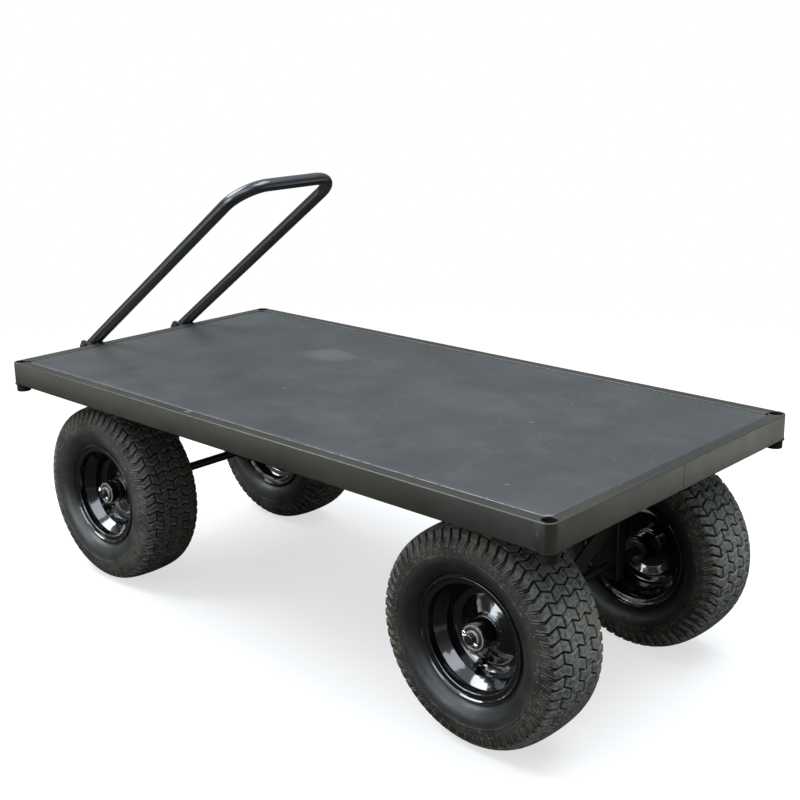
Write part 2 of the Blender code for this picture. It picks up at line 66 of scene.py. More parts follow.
# =====================================================================================
# driving sizes of the deck
# =====================================================================================
# fixed x positions below are drawn for a tail axle at x = 0.541
axle_low, axle_high = box("tail_axle")
SHIFT = 0.5 * (axle_low.x + axle_high.x) - 0.541

rail_low, rail_high = box("rail_near")
RIM_TOP, RIM_LOW = rail_high.z, rail_low.z
RIM_NEAR_Y = rail_low.y              # outer face of the near rail
RIM_WIDE = rail_high.y - rail_low.y
RIM_TAIL_X = box("rail_tail_end")[1].x
RIM_HANDLE_X = box("rail_handle_end")[0].x
RIM_ROUND = 0.0021                   # rolled corners of the rim section

socket_low, socket_high = box("socket_tail_near")
SOCKET_R = (socket_high.x - socket_low.x) / 2
SOCKET_TAIL_X = (socket_low.x + socket_high.x) / 2
SOCKET_NEAR_Y = (socket_low.y + socket_high.y) / 2
SOCKET_INSET = RIM_TAIL_X - SOCKET_TAIL_X   # from the rim's outer face to the socket's axis
SOCKET_HANDLE_X = RIM_HANDLE_X + SOCKET_INSET

SHEET_LOW, SHEET_HIGH = box("deck_panel")
SHEET_CUT = 0.012                    # cut corners of the deck sheet

# where the rails meet the corner pieces: axis, middle, distance from the middle
seam_mid = 0.5 * (socket_low.x + box("socket_handle_near")[1].x)
RIM_SEAMS = ((0, seam_mid, socket_low.x - seam_mid), (1, 0.0, -socket_high.y))


# =====================================================================================
# shader nodes
# =====================================================================================
class Signal:
    """A node output. Arithmetic on it adds math nodes to its graph."""

    def __init__(self, graph, socket):
        self.graph = graph
        self.socket = socket

    def math(self, operation, other=None, clamp=False):
        inputs = {0: self} if other is None else {0: self, 1: other}
        made = self.graph.node("ShaderNodeMath", inputs, operation=operation, use_clamp=clamp)
        return self.graph.out(made)

    def __add__(self, other):
        return self.math("ADD", other)

    def __sub__(self, other):
        return self.math("SUBTRACT", other)

    def __mul__(self, other):
        return self.math("MULTIPLY", other)

    def __abs__(self):
        return self.math("ABSOLUTE")

    def plus_clamped(self, other):
        return self.math("ADD", other, clamp=True)

    def ramp(self, start, end, low=0.0, high=1.0):
        """Smooth step from low at start to high at end; start may lie above end."""
        return self.graph.out(self.graph.node("ShaderNodeMapRange", {
            "From Min": start, "From Max": end, "To Min": low, "To Max": high, "Value": self,
        }, interpolation_type="SMOOTHSTEP"))


class Graph:
    """Node tree of a material or world, with its main shader. Points are in object space."""

    def __init__(self, owner, shader="Principled BSDF"):
        owner.use_nodes = True
        self.owner = owner
        self.tree = owner.node_tree
        self.shader = self.tree.nodes[shader]
        self.coords = self.node("ShaderNodeTexCoord")
        self.point = self.out(self.coords, "Object")

    def node(self, kind, inputs=None, **settings):
        made = self.tree.nodes.new(kind)
        for key, value in settings.items():
            setattr(made, key, value)
        for key, value in (inputs or {}).items():
            self.put(made.inputs[key], value)
        return made

    def out(self, node, key=0):
        return Signal(self, node.outputs[key])

    def put(self, socket, value):
        """Link a signal to a socket, or set a value on it."""
        if isinstance(value, Signal):
            self.tree.links.new(value.socket, socket)
        elif isinstance(value, tuple) and len(value) == 3 and socket.type == "RGBA":
            socket.default_value = (*value, 1.0)
        else:
            socket.default_value = value

    def set(self, name, value):
        self.put(self.shader.inputs[name], value)

    def mapping(self, scale, rotation=(0, 0, 0)):
        return self.out(self.node("ShaderNodeMapping", {
            "Scale": scale, "Rotation": rotation, "Vector": self.point}))

    def noise(self, scale, detail=3.0, rough=0.5, vector=None):
        return self.out(self.node("ShaderNodeTexNoise", {
            "Scale": scale, "Detail": detail, "Roughness": rough,
            "Vector": vector or self.point}), "Fac")

    def cells(self, scale):
        """Distance to the nearest of a scatter of points."""
        return self.out(self.node("ShaderNodeTexVoronoi", {
            "Scale": scale, "Vector": self.point}), "Distance")

    def mix(self, factor, first, second):
        made = self.node("ShaderNodeMix", data_type="RGBA")
        # sockets 6 and 7 are the colour pair
        for key, value in (("Factor", factor), (6, first), (7, second)):
            self.put(made.inputs[key], value)
        return self.out(made, 2)

    def xyz(self, source=None):
        made = self.node("ShaderNodeSeparateXYZ", {0: source or self.point})
        return [self.out(made, axis) for axis in range(3)]

    def attribute(self, name):
        return self.out(self.node("ShaderNodeAttribute", attribute_name=name), "Fac")

    def normal(self):
        return self.out(self.node("ShaderNodeNewGeometry"), "Normal")

    def vector(self, operation, *values, output="Vector"):
        made = self.node("ShaderNodeVectorMath", dict(enumerate(values)), operation=operation)
        return self.out(made, output)

    def bump(self, *layers):
        """Layers are (height, strength, distance), from coarse to fine."""
        previous = None
        for height, strength, distance in layers:
            inputs = {"Strength": strength, "Distance": distance, "Height": height}
            if previous is not None:
                inputs["Normal"] = previous
            previous = self.out(self.node("ShaderNodeBump", inputs))
        self.set("Normal", previous)
        return previous

    def upward(self):
        """1 where the true surface looks up."""
        return self.xyz(self.normal())[2].ramp(0.35, 0.95)

    def edges(self):
        """1 on edges and corners, found where a rounded normal leaves the true one."""
        rounded = self.out(self.node("ShaderNodeBevel", {"Radius": 0.0018}, samples=4))
        match = self.vector("DOT_PRODUCT", rounded, self.normal(), output="Value")
        made = self.node("ShaderNodeMath", {0: 1.0, 1: match}, operation="SUBTRACT")
        return self.out(made).ramp(0.02, 0.25)

    def spot(self, point, radius, stretch):
        """Round mask with a wobbly, soft outline about a point."""
        away = self.vector("SUBTRACT", self.point, point)
        away = self.vector("MULTIPLY", away, stretch)
        distance = self.vector("LENGTH", away, output="Value")
        wobble = self.noise(1.0 / radius * 1.4, detail=4, rough=0.6)
        distance = distance + (wobble - 0.5) * (radius * 1.1)
        return distance.ramp(radius, radius * 0.4)


def new_material(name):
    return Graph(bpy.data.materials.new(name))


def scaled(colour, factor, tint=(1, 1, 1)):
    return tuple(factor * c * t for c, t in zip(colour, tint))


# =====================================================================================
# finishes
# =====================================================================================
def mark(x, y, z, radius, colour, amount, rougher, stretch=(1, 1, 1)):
    """A soft patch of colour for paint(): dirt or a scratch, or painted light or shade; a stretch
    above 1 narrows it along that axis.
    """
    return (x + SHIFT, y, z), radius, colour, amount, rougher, stretch


def scratches(mat, amount):
    """Two families of fine scratches, broken up."""
    first = mat.noise(1.0, detail=2, rough=0.4, vector=mat.mapping((6, 420, 260), (0.2, 0.1, 0.5)))
    second = mat.noise(1.0, detail=2, rough=0.4,
                       vector=mat.mapping((380, 7, 300), (0.1, 0.3, -0.6)))
    broken = mat.noise(14).ramp(0.50, 0.64)
    lines = first.ramp(0.70, 0.76).math("MAXIMUM", second.ramp(0.71, 0.77))
    return lines * broken * amount


def settled_dust(mat, amount):
    """Film of dust, more where it can settle, with specks."""
    film = (mat.noise(7, detail=8, rough=0.62).ramp(0.42, 0.78)
            * mat.noise(55, detail=5, rough=0.6).ramp(0.30, 0.70, 0.45, 1.0))
    film = film * (mat.upward() * 0.75 + 0.25)
    speck = mat.cells(190).ramp(0.11, 0.05) * mat.noise(22, detail=2).ramp(0.55, 0.66)
    return (film * amount).plus_clamped(speck * (amount * 1.6))


def rubbed_edges(mat, amount, seams):
    """Worn edges; the flush butt joints listed in seams are left out."""
    edge_mask = mat.edges() * mat.noise(60, detail=5, rough=0.65).ramp(0.38, 0.66)
    edge_mask = edge_mask * amount
    for axis, middle, half in seams:
        from_seam = abs(abs(mat.xyz()[axis] - middle) - half)
        edge_mask = edge_mask * from_seam.ramp(0.0020, 0.0034)
    return edge_mask


def near_edge_highlight(mat, edge_y, cut_line):
    """Painted highlight along the sheet's near edge (y) and the cut corner (x - y) beside it,
    brighter towards the tail and broken up by noise.
    """
    x, y, _ = mat.xyz()
    edge_mask = y.ramp(edge_y + 0.0038, edge_y + 0.0022) * x.ramp(-0.5, 0.7, 0.30, 0.85)
    edge_mask = edge_mask.math("MAXIMUM", (x - y).ramp(cut_line - 0.0064, cut_line - 0.0040))
    return edge_mask * mat.noise(60, detail=5, rough=0.65).ramp(0.36, 0.58, 0.15, 1.0) * 0.80


def paint(name, base, rough, spec, peel, dust, scratch, coat=0.0, coat_rough=0.1,
          grain=(2600, 0.05), dust_col=(0.20, 0.19, 0.17), edge=0.0, edge_col=None, tone=0.22,
          marks=(), seams=(), wave=(11, 0.10, 0.002), fleck=0.0, near_edge=None):
    """Sprayed or powder-coated steel.

    peel and grain are (noise scale, bump strength) of the orange peel and fine grain; wave
    adds a bump distance. tone is the drift of the base colour. dust, scratch, edge (rubbed
    edges) and fleck (sparse chips) are amounts.
    """
    mat = new_material(name)
    drift = mat.noise(2.3, detail=4, rough=0.55)
    col = mat.mix(drift.ramp(0.32, 0.68), scaled(base, 1 - tone), scaled(base, 1 + tone))
    lines = scratches(mat, scratch)
    film = settled_dust(mat, dust)
    col = mat.mix(film, col, dust_col)
    col = mat.mix(lines, col, tuple(min(1, c * 2.6 + 0.03) for c in base))
    if fleck > 0:
        chips = mat.cells(40).ramp(0.085, 0.050) * mat.noise(5, detail=2).ramp(0.50, 0.58)
        col = mat.mix(chips * fleck, col, (0.150, 0.150, 0.143))
    dull = mat.noise(9, detail=5, rough=0.6).ramp(0.25, 0.75, rough * 0.82, rough * 1.22)
    dull = dull + film * 0.35
    # marks: dirt and scratches, and patches of painted light or shade
    for point, radius, colour, amount, rougher, stretch in marks:
        patch_mask = mat.spot(point, radius, stretch) * amount
        col = mat.mix(patch_mask, col, colour)
        dull = dull + patch_mask * rougher
    if edge > 0:
        col = mat.mix(rubbed_edges(mat, edge, seams), col, edge_col)
    # painted highlight line along the sheet's near edge and cut corner
    if near_edge:
        col = mat.mix(near_edge_highlight(mat, *near_edge), col, edge_col)
    mat.set("Base Color", col)
    mat.set("Roughness", dull.plus_clamped(lines * 0.15))
    mat.set("Specular IOR Level", spec)
    mat.set("Coat Weight", coat)
    mat.set("Coat Roughness", coat_rough)
    peel_noise = mat.noise(peel[0], detail=2, rough=0.45)
    grain_noise = mat.noise(grain[0], detail=2)
    normal = mat.bump((mat.noise(wave[0], detail=2), wave[1], wave[2]),
                      (peel_noise, peel[1], 0.0006), (grain_noise, grain[1], 0.0002))
    if coat > 0:
        mat.set("Coat Normal", normal)
    return mat.owner


def metal(name, base, rough, metallic=1.0, stain=0.25):
    """Bright metal with brownish stains."""
    mat = new_material(name)
    drift = mat.noise(60, detail=5, rough=0.6).ramp(0.35, 0.7)
    col = mat.mix(drift, scaled(base, 0.86), base)
    stains = mat.noise(130, detail=6, rough=0.65).ramp(0.52, 0.74) * stain
    mat.set("Base Color", mat.mix(stains, col, (0.22, 0.19, 0.15)))
    mat.set("Metallic", metallic)
    dull = mat.noise(90, detail=4).ramp(0.3, 0.7, rough * 0.8, rough * 1.25)
    mat.set("Roughness", dull.plus_clamped(stains * 0.5))
    mat.bump((mat.noise(420), 0.12, 0.0003), (mat.noise(2400, detail=2), 0.10, 0.0001))
    return mat.owner


def dull_black(name, base, rough):
    mat = new_material(name)
    drift = mat.noise(70, detail=5, rough=0.6).ramp(0.3, 0.7)
    mat.set("Base Color", mat.mix(drift, scaled(base, 0.7), scaled(base, 1.4)))
    mat.set("Roughness", mat.noise(120, detail=4).ramp(0.3, 0.7, rough * 0.85, min(1, rough * 1.2)))
    mat.bump((mat.noise(700), 0.15, 0.0003), (mat.noise(2600, detail=2), 0.1, 0.0001))
    return mat.owner


def rubber(name, wall, face, bead=0.85, tint=(1.0, 1.0, 1.0)):
    """Tyre rubber: pale scuffed block tops, dark grooves, smooth bead bulge, road dust.

    wall and face scale how pale the wall and the tread are; bead is the strength of the
    bulge's painted bluish sheen and darker tone. The mesh carries "top" (1 on block tops, 0.5
    on the wall, 0 in the grooves) and "line" (1 on block edges and ribs, which get a painted
    highlight).
    """
    mat = new_material(name)
    x, _, z = mat.xyz()
    radius = (x * x + z * z).math("SQRT")
    top = mat.attribute("top")
    line = mat.attribute("line")
    broad = mat.noise(18, detail=6, rough=0.6)
    fine = mat.noise(160, detail=5, rough=0.62)
    side = mat.mix(broad.ramp(0.3, 0.7), scaled((0.0130, 0.0127, 0.0105), wall, tint),
                   scaled((0.0420, 0.0405, 0.0325), wall, tint))
    tread = mat.mix(fine.ramp(0.30, 0.72), scaled((0.0170, 0.0195, 0.0220), face),
                    scaled((0.1850, 0.1930, 0.1880), face))
    tread = mat.mix(broad.ramp(0.45, 0.70) * 0.60, tread, scaled((0.135, 0.124, 0.082), face))
    col = mat.mix(top.ramp(0.55, 1.0), side, tread)
    # painted shade: the grooves go near-black
    col = mat.mix(top.ramp(0.10, 0.0), col, (0.0010, 0.0010, 0.0011))
    # painted highlight on block edges and ribs, broken up by noise
    edge_highlight = line * mat.noise(45, detail=5, rough=0.6).ramp(0.36, 0.62, 0.25, 1.0)
    col = mat.mix(edge_highlight * 0.80, col, (0.210, 0.212, 0.195))
    # pale smears in an irregular band half way down the wall
    smear = (mat.noise(1.0, detail=5, rough=0.65, vector=mat.mapping((26, 26, 26))).ramp(0.56, 0.70)
             * abs(radius - 0.158).ramp(0.012, 0.003))
    col = mat.mix(smear * 0.55, col, (0.125, 0.119, 0.075))
    # small pale chips across the wall
    chip = mat.cells(120).ramp(0.24, 0.13) * mat.noise(26).ramp(0.42, 0.56)
    chip = chip * (radius.ramp(0.1480, 0.1520) * radius.ramp(0.1900, 0.1850))
    col = mat.mix(chip * 0.80, col, (0.200, 0.193, 0.155))
    # finer worn-off skin from the wall's lower ring outwards
    grit = mat.noise(210, detail=4, rough=0.75).ramp(0.48, 0.66)
    grit = grit * (radius.ramp(0.1490, 0.1540) * mat.noise(34).ramp(0.34, 0.60, 0.15, 1.0))
    col = mat.mix(grit * 0.80, col, (0.130, 0.125, 0.095))
    # dried film of dust
    dust = (mat.noise(9, detail=7, rough=0.6).ramp(0.45, 0.75)
            * mat.noise(75, detail=4).ramp(0.35, 0.65))
    col = mat.mix(dust * 0.26, col, (0.055, 0.052, 0.043))
    # smooth bulge over the bead, with a painted bluish sheen in a darker tone
    bulge = radius.ramp(0.1530, 0.1400) * radius.ramp(0.112, 0.118)
    bulge_sheen_col = mat.mix(broad.ramp(0.3, 0.7), scaled((0.0085, 0.0095, 0.0115), wall),
                        scaled((0.0155, 0.0170, 0.0198), wall))
    mat.set("Base Color", mat.mix(bulge * bead, col, bulge_sheen_col))
    dull = bulge.ramp(0.0, 1.0, 0.60, 0.40) + (fine - 0.5) * 0.22
    mat.set("Roughness", dull.plus_clamped(dust * 0.12))
    mat.set("Specular IOR Level", bulge.ramp(0.0, 1.0, 0.20, 0.38))
    # fine radial serration under the shoulder lugs, broken up
    comb = (z.math("ARCTAN2", x) * 420.0).math("SINE")
    comb = comb * (radius.ramp(0.1700, 0.1740) * radius.ramp(0.1900, 0.1840))
    comb = comb * mat.noise(30).ramp(0.40, 0.60)
    # faint moulding rings on the wall, 2.3 mm apart
    rings = (radius * (2 * pi / 0.0023)).math("SINE")
    rings = rings * (radius.ramp(0.168, 0.162) * radius.ramp(0.150, 0.154))
    mat.bump((comb, 0.60, 0.0008), (rings, 0.16, 0.0004),
             (mat.noise(150, detail=4, rough=0.65), 0.34, 0.0016),
             (mat.noise(1500, rough=0.6), 0.20, 0.0004))
    return mat.owner


# marks: x, y, z, radius, colour, amount, extra roughness, stretch
PANEL_MARKS = [
    mark(-0.349, -0.322, 0.49, 0.050, (0.020, 0.020, 0.019), 0.55, 0.10, (1.0, 1.6, 1)),
    mark(-0.253, 0.137, 0.49, 0.085, (0.085, 0.085, 0.080), 0.32, 0.08, (1.0, 1.4, 1)),
    mark(0.230, 0.060, 0.49, 0.160, (0.060, 0.062, 0.060), 0.22, 0.05, (0.8, 1.7, 1)),
    mark(0.100, -0.220, 0.49, 0.110, (0.055, 0.056, 0.054), 0.20, 0.05, (0.7, 1.9, 1)),
    mark(0.598, -0.280, 0.49, 0.006, (0.10, 0.10, 0.10), 0.40, 0.1, (1, 1.3, 1)),
    mark(0.420, 0.020, 0.49, 0.005, (0.14, 0.14, 0.13), 0.5, 0.1),
    mark(-0.120, -0.120, 0.49, 0.005, (0.14, 0.14, 0.13), 0.5, 0.1),
]
RIM_MARKS = [
    mark(-0.133, -0.364, 0.491, 0.010, (0.10, 0.10, 0.09), 0.7, 0.1),
    mark(0.733, -0.164, 0.491, 0.009, (0.10, 0.10, 0.09), 0.7, 0.1),
    mark(0.735, -0.381, 0.470, 0.0022, (0.17, 0.17, 0.16), 0.7, 0.2, (1.2, 1, 0.45)),
    mark(0.728, -0.381, 0.444, 0.0020, (0.10, 0.09, 0.08), 0.6, 0.2, (0.3, 1, 1.4)),
    # painted shade: a large dark patch darkening the near face towards the tail corner
    mark(0.700, -0.381, 0.455, 0.190, (0.0068, 0.0062, 0.0042), 0.62, 0.06, (0.8, 1, 1)),
    # painted shade: a long dark stripe along the top of the tail rail
    mark(0.752, 0.020, 0.494, 0.017, (0.0060, 0.0060, 0.0048), 0.75, 0.08, (1, 0.045, 1)),
    # painted light: a paler patch at the far end of the tail face
    mark(0.765, 0.370, 0.455, 0.060, (0.032, 0.031, 0.024), 0.60, 0.05),
]

LOOK = {
    "panel": paint(
        "deck_panel_look", base=(0.0232, 0.0260, 0.0272), rough=0.40, spec=0.45,
        peel=(260, 0.10), dust=0.16, dust_col=(0.105, 0.105, 0.098), scratch=0.30, tone=0.10,
        # near_edge: where the painted highlight line runs along the sheet
        fleck=0.7, near_edge=(SHEET_LOW.y, SHEET_HIGH.x - SHEET_CUT - SHEET_LOW.y),
        edge_col=(0.32, 0.325, 0.32), marks=PANEL_MARKS),
    "rim": paint(
        "rim_paint_look", base=(0.0150, 0.0140, 0.0092), rough=0.33, spec=0.5,
        peel=(340, 0.12), dust=0.08, dust_col=(0.11, 0.10, 0.08), scratch=0.35, edge=0.75,
        edge_col=(0.16, 0.165, 0.16), seams=RIM_SEAMS, marks=RIM_MARKS),
    # below the rim: darker and browner than the rim, rust and painted shade under the rim
    "foot": paint(
        "socket_foot_rust_and_shade_look", base=(0.0060, 0.0040, 0.0028), rough=0.70, spec=0.16,
        peel=(240, 0.30), dust=0.30, dust_col=(0.034, 0.018, 0.010), scratch=0.1),
    "frame": paint(
        "frame_paint_look", base=(0.0055, 0.0055, 0.0055), rough=0.34, spec=0.45,
        peel=(300, 0.14), dust=0.08, scratch=0.2, edge=0.22, edge_col=(0.09, 0.085, 0.08)),
    "wheel": paint(
        "wheel_paint_look", base=(0.0030, 0.0030, 0.0033), rough=0.10, coat=0.6,
        coat_rough=0.04, spec=0.55, peel=(260, 0.035), grain=(2400, 0.01), dust=0.035,
        dust_col=(0.10, 0.095, 0.085), scratch=0.10, tone=0.12, wave=(24, 0.30, 0.006)),
    "handle": paint(
        "handle_paint_look", base=(0.0040, 0.0054, 0.0084), rough=0.30, coat=0.30,
        coat_rough=0.16, spec=0.5, peel=(160, 0.02), grain=(2600, 0.01), dust=0.04,
        scratch=0.0, tone=0.12, wave=(9, 0.04, 0.002)),
    "rubber": rubber("tyre_rubber_look", wall=0.95, face=1.18),
    # painted light and shade: the steering tyres' copy has a darker tread, standing for the shade
    # under the deck, and a paler, bluer wall
    "rubber_steer_lit_and_shaded": rubber("tyre_rubber_steer_look", wall=1.52, face=0.46, bead=0.55,
                           tint=(0.97, 1.0, 1.13)),
    "zinc": metal("zinc_plate_look", base=(0.50, 0.49, 0.43), rough=0.34, metallic=0.55),
    "steel": metal("bearing_steel_look", base=(0.46, 0.445, 0.38), rough=0.30, metallic=0.55,
                   stain=0.35),
    "pin": metal("split_pin_look", base=(0.90, 0.90, 0.88), rough=0.20, stain=0.05),
    "shield": dull_black("bearing_shield_look", base=(0.014, 0.014, 0.013), rough=0.42),
    "valve": dull_black("valve_rubber_look", base=(0.010, 0.010, 0.010), rough=0.50),
    # dark race finish: real grease on the turntable race; on the inner bearings it is painted shade
    "grease": dull_black("greased_and_shaded_race_look", base=(0.022, 0.019, 0.015), rough=0.30),
}


# =====================================================================================
# mesh helpers
# =====================================================================================
def finished(bm, name):
    """Turn a bmesh into a mesh with its normals facing out."""
    bmesh.ops.recalc_face_normals(bm, faces=bm.faces)
    mesh = bpy.data.meshes.new(name)
    bm.to_mesh(mesh)
    bm.free()
    return mesh


def place(name, mesh, looks, body, slot, stands_for=None, angle=35.0, matrix=None):
    """Add an object that rides on a body; edges sharper than angle (degrees) stay crisp."""
    ob = bpy.data.objects.new(name, mesh)
    bpy.context.scene.collection.objects.link(ob)
    if not mesh.materials:  # a shared mesh gets its looks once
        for look in looks.split():
            mesh.materials.append(LOOK[look])
        mesh.polygons.foreach_set("use_smooth", [True] * len(mesh.polygons))
        mesh.set_sharp_from_angle(angle=radians(angle))
    if matrix is not None:
        ob.matrix_world = matrix
    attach(ob, body)
    if stands_for:
        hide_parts(stands_for)


def build(name, bm, looks, body, slot, stands_for=None, angle=35.0):
    place(name, finished(bm, name), looks, body, slot, stands_for, angle)


def circle(count, closed=False):
    """(cos, sin) of even steps round a circle; closed repeats the start."""
    return [(cos(2 * pi * k / count), sin(2 * pi * k / count)) for k in range(count + closed)]


def skin(bm, rings, close=False, caps=False):
    """Quads between successive rings of vertices; close joins the last to the first."""
    faces = []
    for ring, after in zip(rings, rings[1:] + rings[:1] if close else rings[1:]):
        for k in range(len(ring)):
            j = (k + 1) % len(ring)
            faces.append(bm.faces.new((ring[k], ring[j], after[j], after[k])))
    if caps:
        bm.faces.new(rings[0])
        bm.faces.new(rings[-1])
    return faces


def loft(rings):
    """Solid through closed rings of points, joined in order."""
    bm = bmesh.new()
    skin(bm, [[bm.verts.new(p) for p in ring] for ring in rings], caps=True)
    return bm


def lathe(profile, count, bm=None, material=0):
    """Turn a closed outline of (offset towards -Y, radius) about the Y axis."""
    bm = bm or bmesh.new()
    rings = [[bm.verts.new((p[1] * c, -p[0], p[1] * s)) for p in profile]
             for c, s in circle(count)]
    for face in skin(bm, rings, close=True):
        face.material_index = material
    return bm


def catmull(points, steps):
    """Smooth open curve through the points."""
    pts = [Vector(p) for p in points]
    pts = [2 * pts[0] - pts[1]] + pts + [2 * pts[-1] - pts[-2]]
    out = []
    for i in range(1, len(pts) - 2):
        p0, p1, p2, p3 = pts[i - 1:i + 3]
        for k in range(steps):
            t = k / steps
            out.append(0.5 * ((2 * p1) + (p2 - p0) * t + (2 * p0 - 5 * p1 + 4 * p2 - p3) * t * t
                              + (3 * p1 - p0 - 3 * p2 + p3) * t ** 3))
    out.append(pts[-2].copy())
    return out


def fillet(points, steps=5):
    """Closed outline with rounded corners; each point is (a, b, radius)."""
    out = []
    for i, (a, b, radius) in enumerate(points):
        corner = Vector((a, b))
        back = Vector(points[i - 1][:2]) - corner
        ahead = Vector(points[(i + 1) % len(points)][:2]) - corner
        back_len, ahead_len = back.length, ahead.length
        if radius <= 0:
            out.append(corner)
            continue
        back /= back_len
        ahead /= ahead_len
        half = math.acos(max(-1, min(1, back.dot(ahead)))) / 2
        if half > radians(88):  # nearly straight
            out.append(corner)
            continue
        cut = min(radius / math.tan(half), back_len * 0.49, ahead_len * 0.49)
        start, end = corner + back * cut, corner + ahead * cut
        for k in range(steps + 1):
            t = k / steps
            out.append(start * (1 - t) ** 2 + corner * 2 * t * (1 - t) + end * t * t)
    return out


def round_rect(a0, a1, b0, b1, radius, steps=4):
    return fillet([(a0, b0, radius), (a1, b0, radius), (a1, b1, radius), (a0, b1, radius)], steps)


def sweep(path, radius, sides, up, bm=None, inner=None):
    """Round bar along a path, or a tube if inner is given. radius may be a list, one per point."""
    bm = bm or bmesh.new()
    pts = [Vector(p) for p in path]
    up = Vector(up).normalized()
    skins = []
    for size in ([radius] if inner is None else [radius, inner]):
        sizes = size if isinstance(size, list) else [size] * len(pts)
        rings = []
        for i, (p, r) in enumerate(zip(pts, sizes)):
            tangent = (pts[min(i + 1, len(pts) - 1)] - pts[max(i - 1, 0)]).normalized()
            side = up.cross(tangent)
            side = (side if side.length > 1e-6 else tangent.orthogonal()).normalized()
            over = tangent.cross(side)
            rings.append([bm.verts.new(p + side * c * r + over * s * r)
                          for c, s in circle(sides)])
        skin(bm, rings, caps=inner is None)
        skins.append(rings)
    if inner is not None:
        for end in (0, -1):
            skin(bm, [skins[0][end], skins[1][end]])
    return bm


def on_axis(axis, point, height):
    """Point in space from its place in a section and its height along the axis."""
    a, b = point
    return {"Z": (a, b, height), "Y": (a, height, b), "X": (height, a, b)}[axis]


def section_of(low, high, axis):
    """Range along the axis, then a0, a1, b0, b1 of the box's section across it."""
    i = "XYZ".index(axis)
    first, second = [k for k in range(3) if k != i]
    return (low[i], high[i]), (low[first], high[first], low[second], high[second])


def hollow_bar(low, high, axis, radius=0.003, wall=0.0025, edge=0.0006):
    """Rolled hollow section filling a box, open at both ends."""
    (start, end), (a0, a1, b0, b1) = section_of(low, high, axis)

    def outline(inset, least):
        return round_rect(a0 + inset, a1 - inset, b0 + inset, b1 - inset,
                          max(radius - inset, least))

    outer, outer_end, inner = outline(0, 0), outline(edge, 0.0004), outline(wall, 0.0005)
    rings = ((outer_end, start), (outer, start + edge), (outer, end - edge), (outer_end, end),
             (inner, end), (inner, start))
    bm = bmesh.new()
    skin(bm, [[bm.verts.new(on_axis(axis, p, h)) for p in ring] for ring, h in rings], close=True)
    return bm


WELD_PITCH = 0.0032


def weld(path, radius, seed, bm, up=(0, 0, 1)):
    """A run of overlapping weld ripples along a path, partly sunk in the metal."""
    rnd = random.Random(seed)
    corners = [Vector(p) for p in path]
    dense = [corners[0]]
    for a, b in zip(corners, corners[1:]):
        steps = max(1, int((b - a).length / (WELD_PITCH / 3)))
        for i in range(1, steps + 1):
            dense.append(a.lerp(b, i / steps))
    count = len(dense)
    uneven = [rnd.uniform(0.88, 1.14) for _ in range(count)]
    radii = []
    for i in range(count):
        ripple = 1.0 + 0.13 * cos(2 * pi * i / 3.0)
        taper = min(1.0, 0.45 + 0.30 * min(i, count - 1 - i))
        radii.append(radius * ripple * taper * uneven[i])
    shaky = [p + Vector((rnd.uniform(-1, 1), rnd.uniform(-1, 1), rnd.uniform(-1, 1)))
             * radius * 0.10 for p in dense]
    sweep(shaky, radii, 10, up, bm=bm)


# =====================================================================================
# tyres
# =====================================================================================
# A place on the tyre is (angle, v, h): v is the arc length over the skin from the tread's
# middle, h the height above the skin. "Offset" is the distance from the middle plane.
NOMINAL_R = 0.203  # tyre radius the wheel tables are drawn for; also the axle height
tyre_low, tyre_high = box("tyre_tail_near")
WHEEL_SCALE = 0.5 * (tyre_high.z - tyre_low.z) / NOMINAL_R

# half section of the tyre's skin from the tread's middle to the bead: offset, radius
TYRE_SKIN = [
    (0.0, .2030), (.0175, .2026), (.0350, .2013), (.0480, .1991), (.0570, .1957), (.0636, .1900),
    (.0678, .1830), (.0708, .1750), (.0729, .1660), (.0739, .1570), (.0738, .1480), (.0722, .1385),
    (.0688, .1300), (.0636, .1232), (.0580, .1188), (.0543, .1168),
]
skin_curve = catmull([(o * WHEEL_SCALE, r * WHEEL_SCALE, 0) for o, r in TYRE_SKIN], 8)
arc = [0.0]
for a, b in zip(skin_curve, skin_curve[1:]):
    arc.append(arc[-1] + (b - a).length)
ARC = np.array(arc)
OFFSET = np.array([p.x for p in skin_curve])
RADIUS = np.array([p.y for p in skin_curve])
slope_o, slope_r = np.gradient(OFFSET, ARC), np.gradient(RADIUS, ARC)
slope = np.hypot(slope_o, slope_r)
NORMAL_O, NORMAL_R = -slope_r / slope, slope_o / slope  # outward normal of the skin

TREAD_PITCHES = 30
HALF_PITCH = 2 * pi / (2 * TREAD_PITCHES)  # angle
ROW = 0.0175          # spacing of the tread rows across the tyre
ZIGZAG = 0.0041       # swing of the zigzag grooves
GROOVE = 0.0041       # groove width
GROOVE_DEPTH = 0.0062
LUG_END = 0.094       # v where the shoulder lugs end
SHOULDER = 0.066      # v beyond which a block is worn like the wall
BLOCK_BEVEL = 0.0009
# raised rings on the wall: radius, width, height
WALL_RINGS = ((0.1530, 0.0007, 0.0007), (0.1680, 0.0007, 0.0005))
# bead, then the inside back to the middle: offset, radius
TYRE_INSIDE = [
    (0.0538, 0.1158), (0.0531, 0.1130), (0.0529, 0.1080), (0.0520, 0.1030), (0.0480, 0.1022),
    (0.0400, 0.1024), (0.0560, 0.1240), (0.0640, 0.1400), (0.0640, 0.1640), (0.0520, 0.1860),
    (0.0, 0.1930),
]
# "line" attribute round a block's section, on the tread and on the shoulder: where a highlight is
# painted, more on one edge than the other
TREAD_LINE = (0.0, 0.9, 0.9, 0.0, 0.0, 0.25, 0.6, 0.0)
SHOULDER_LINE = (0.0, 1.0, 1.0, 0.0, 0.0, 0.1, 0.4, 0.0)


def along_skin(v, table):
    return float(np.interp(abs(v), ARC, table))


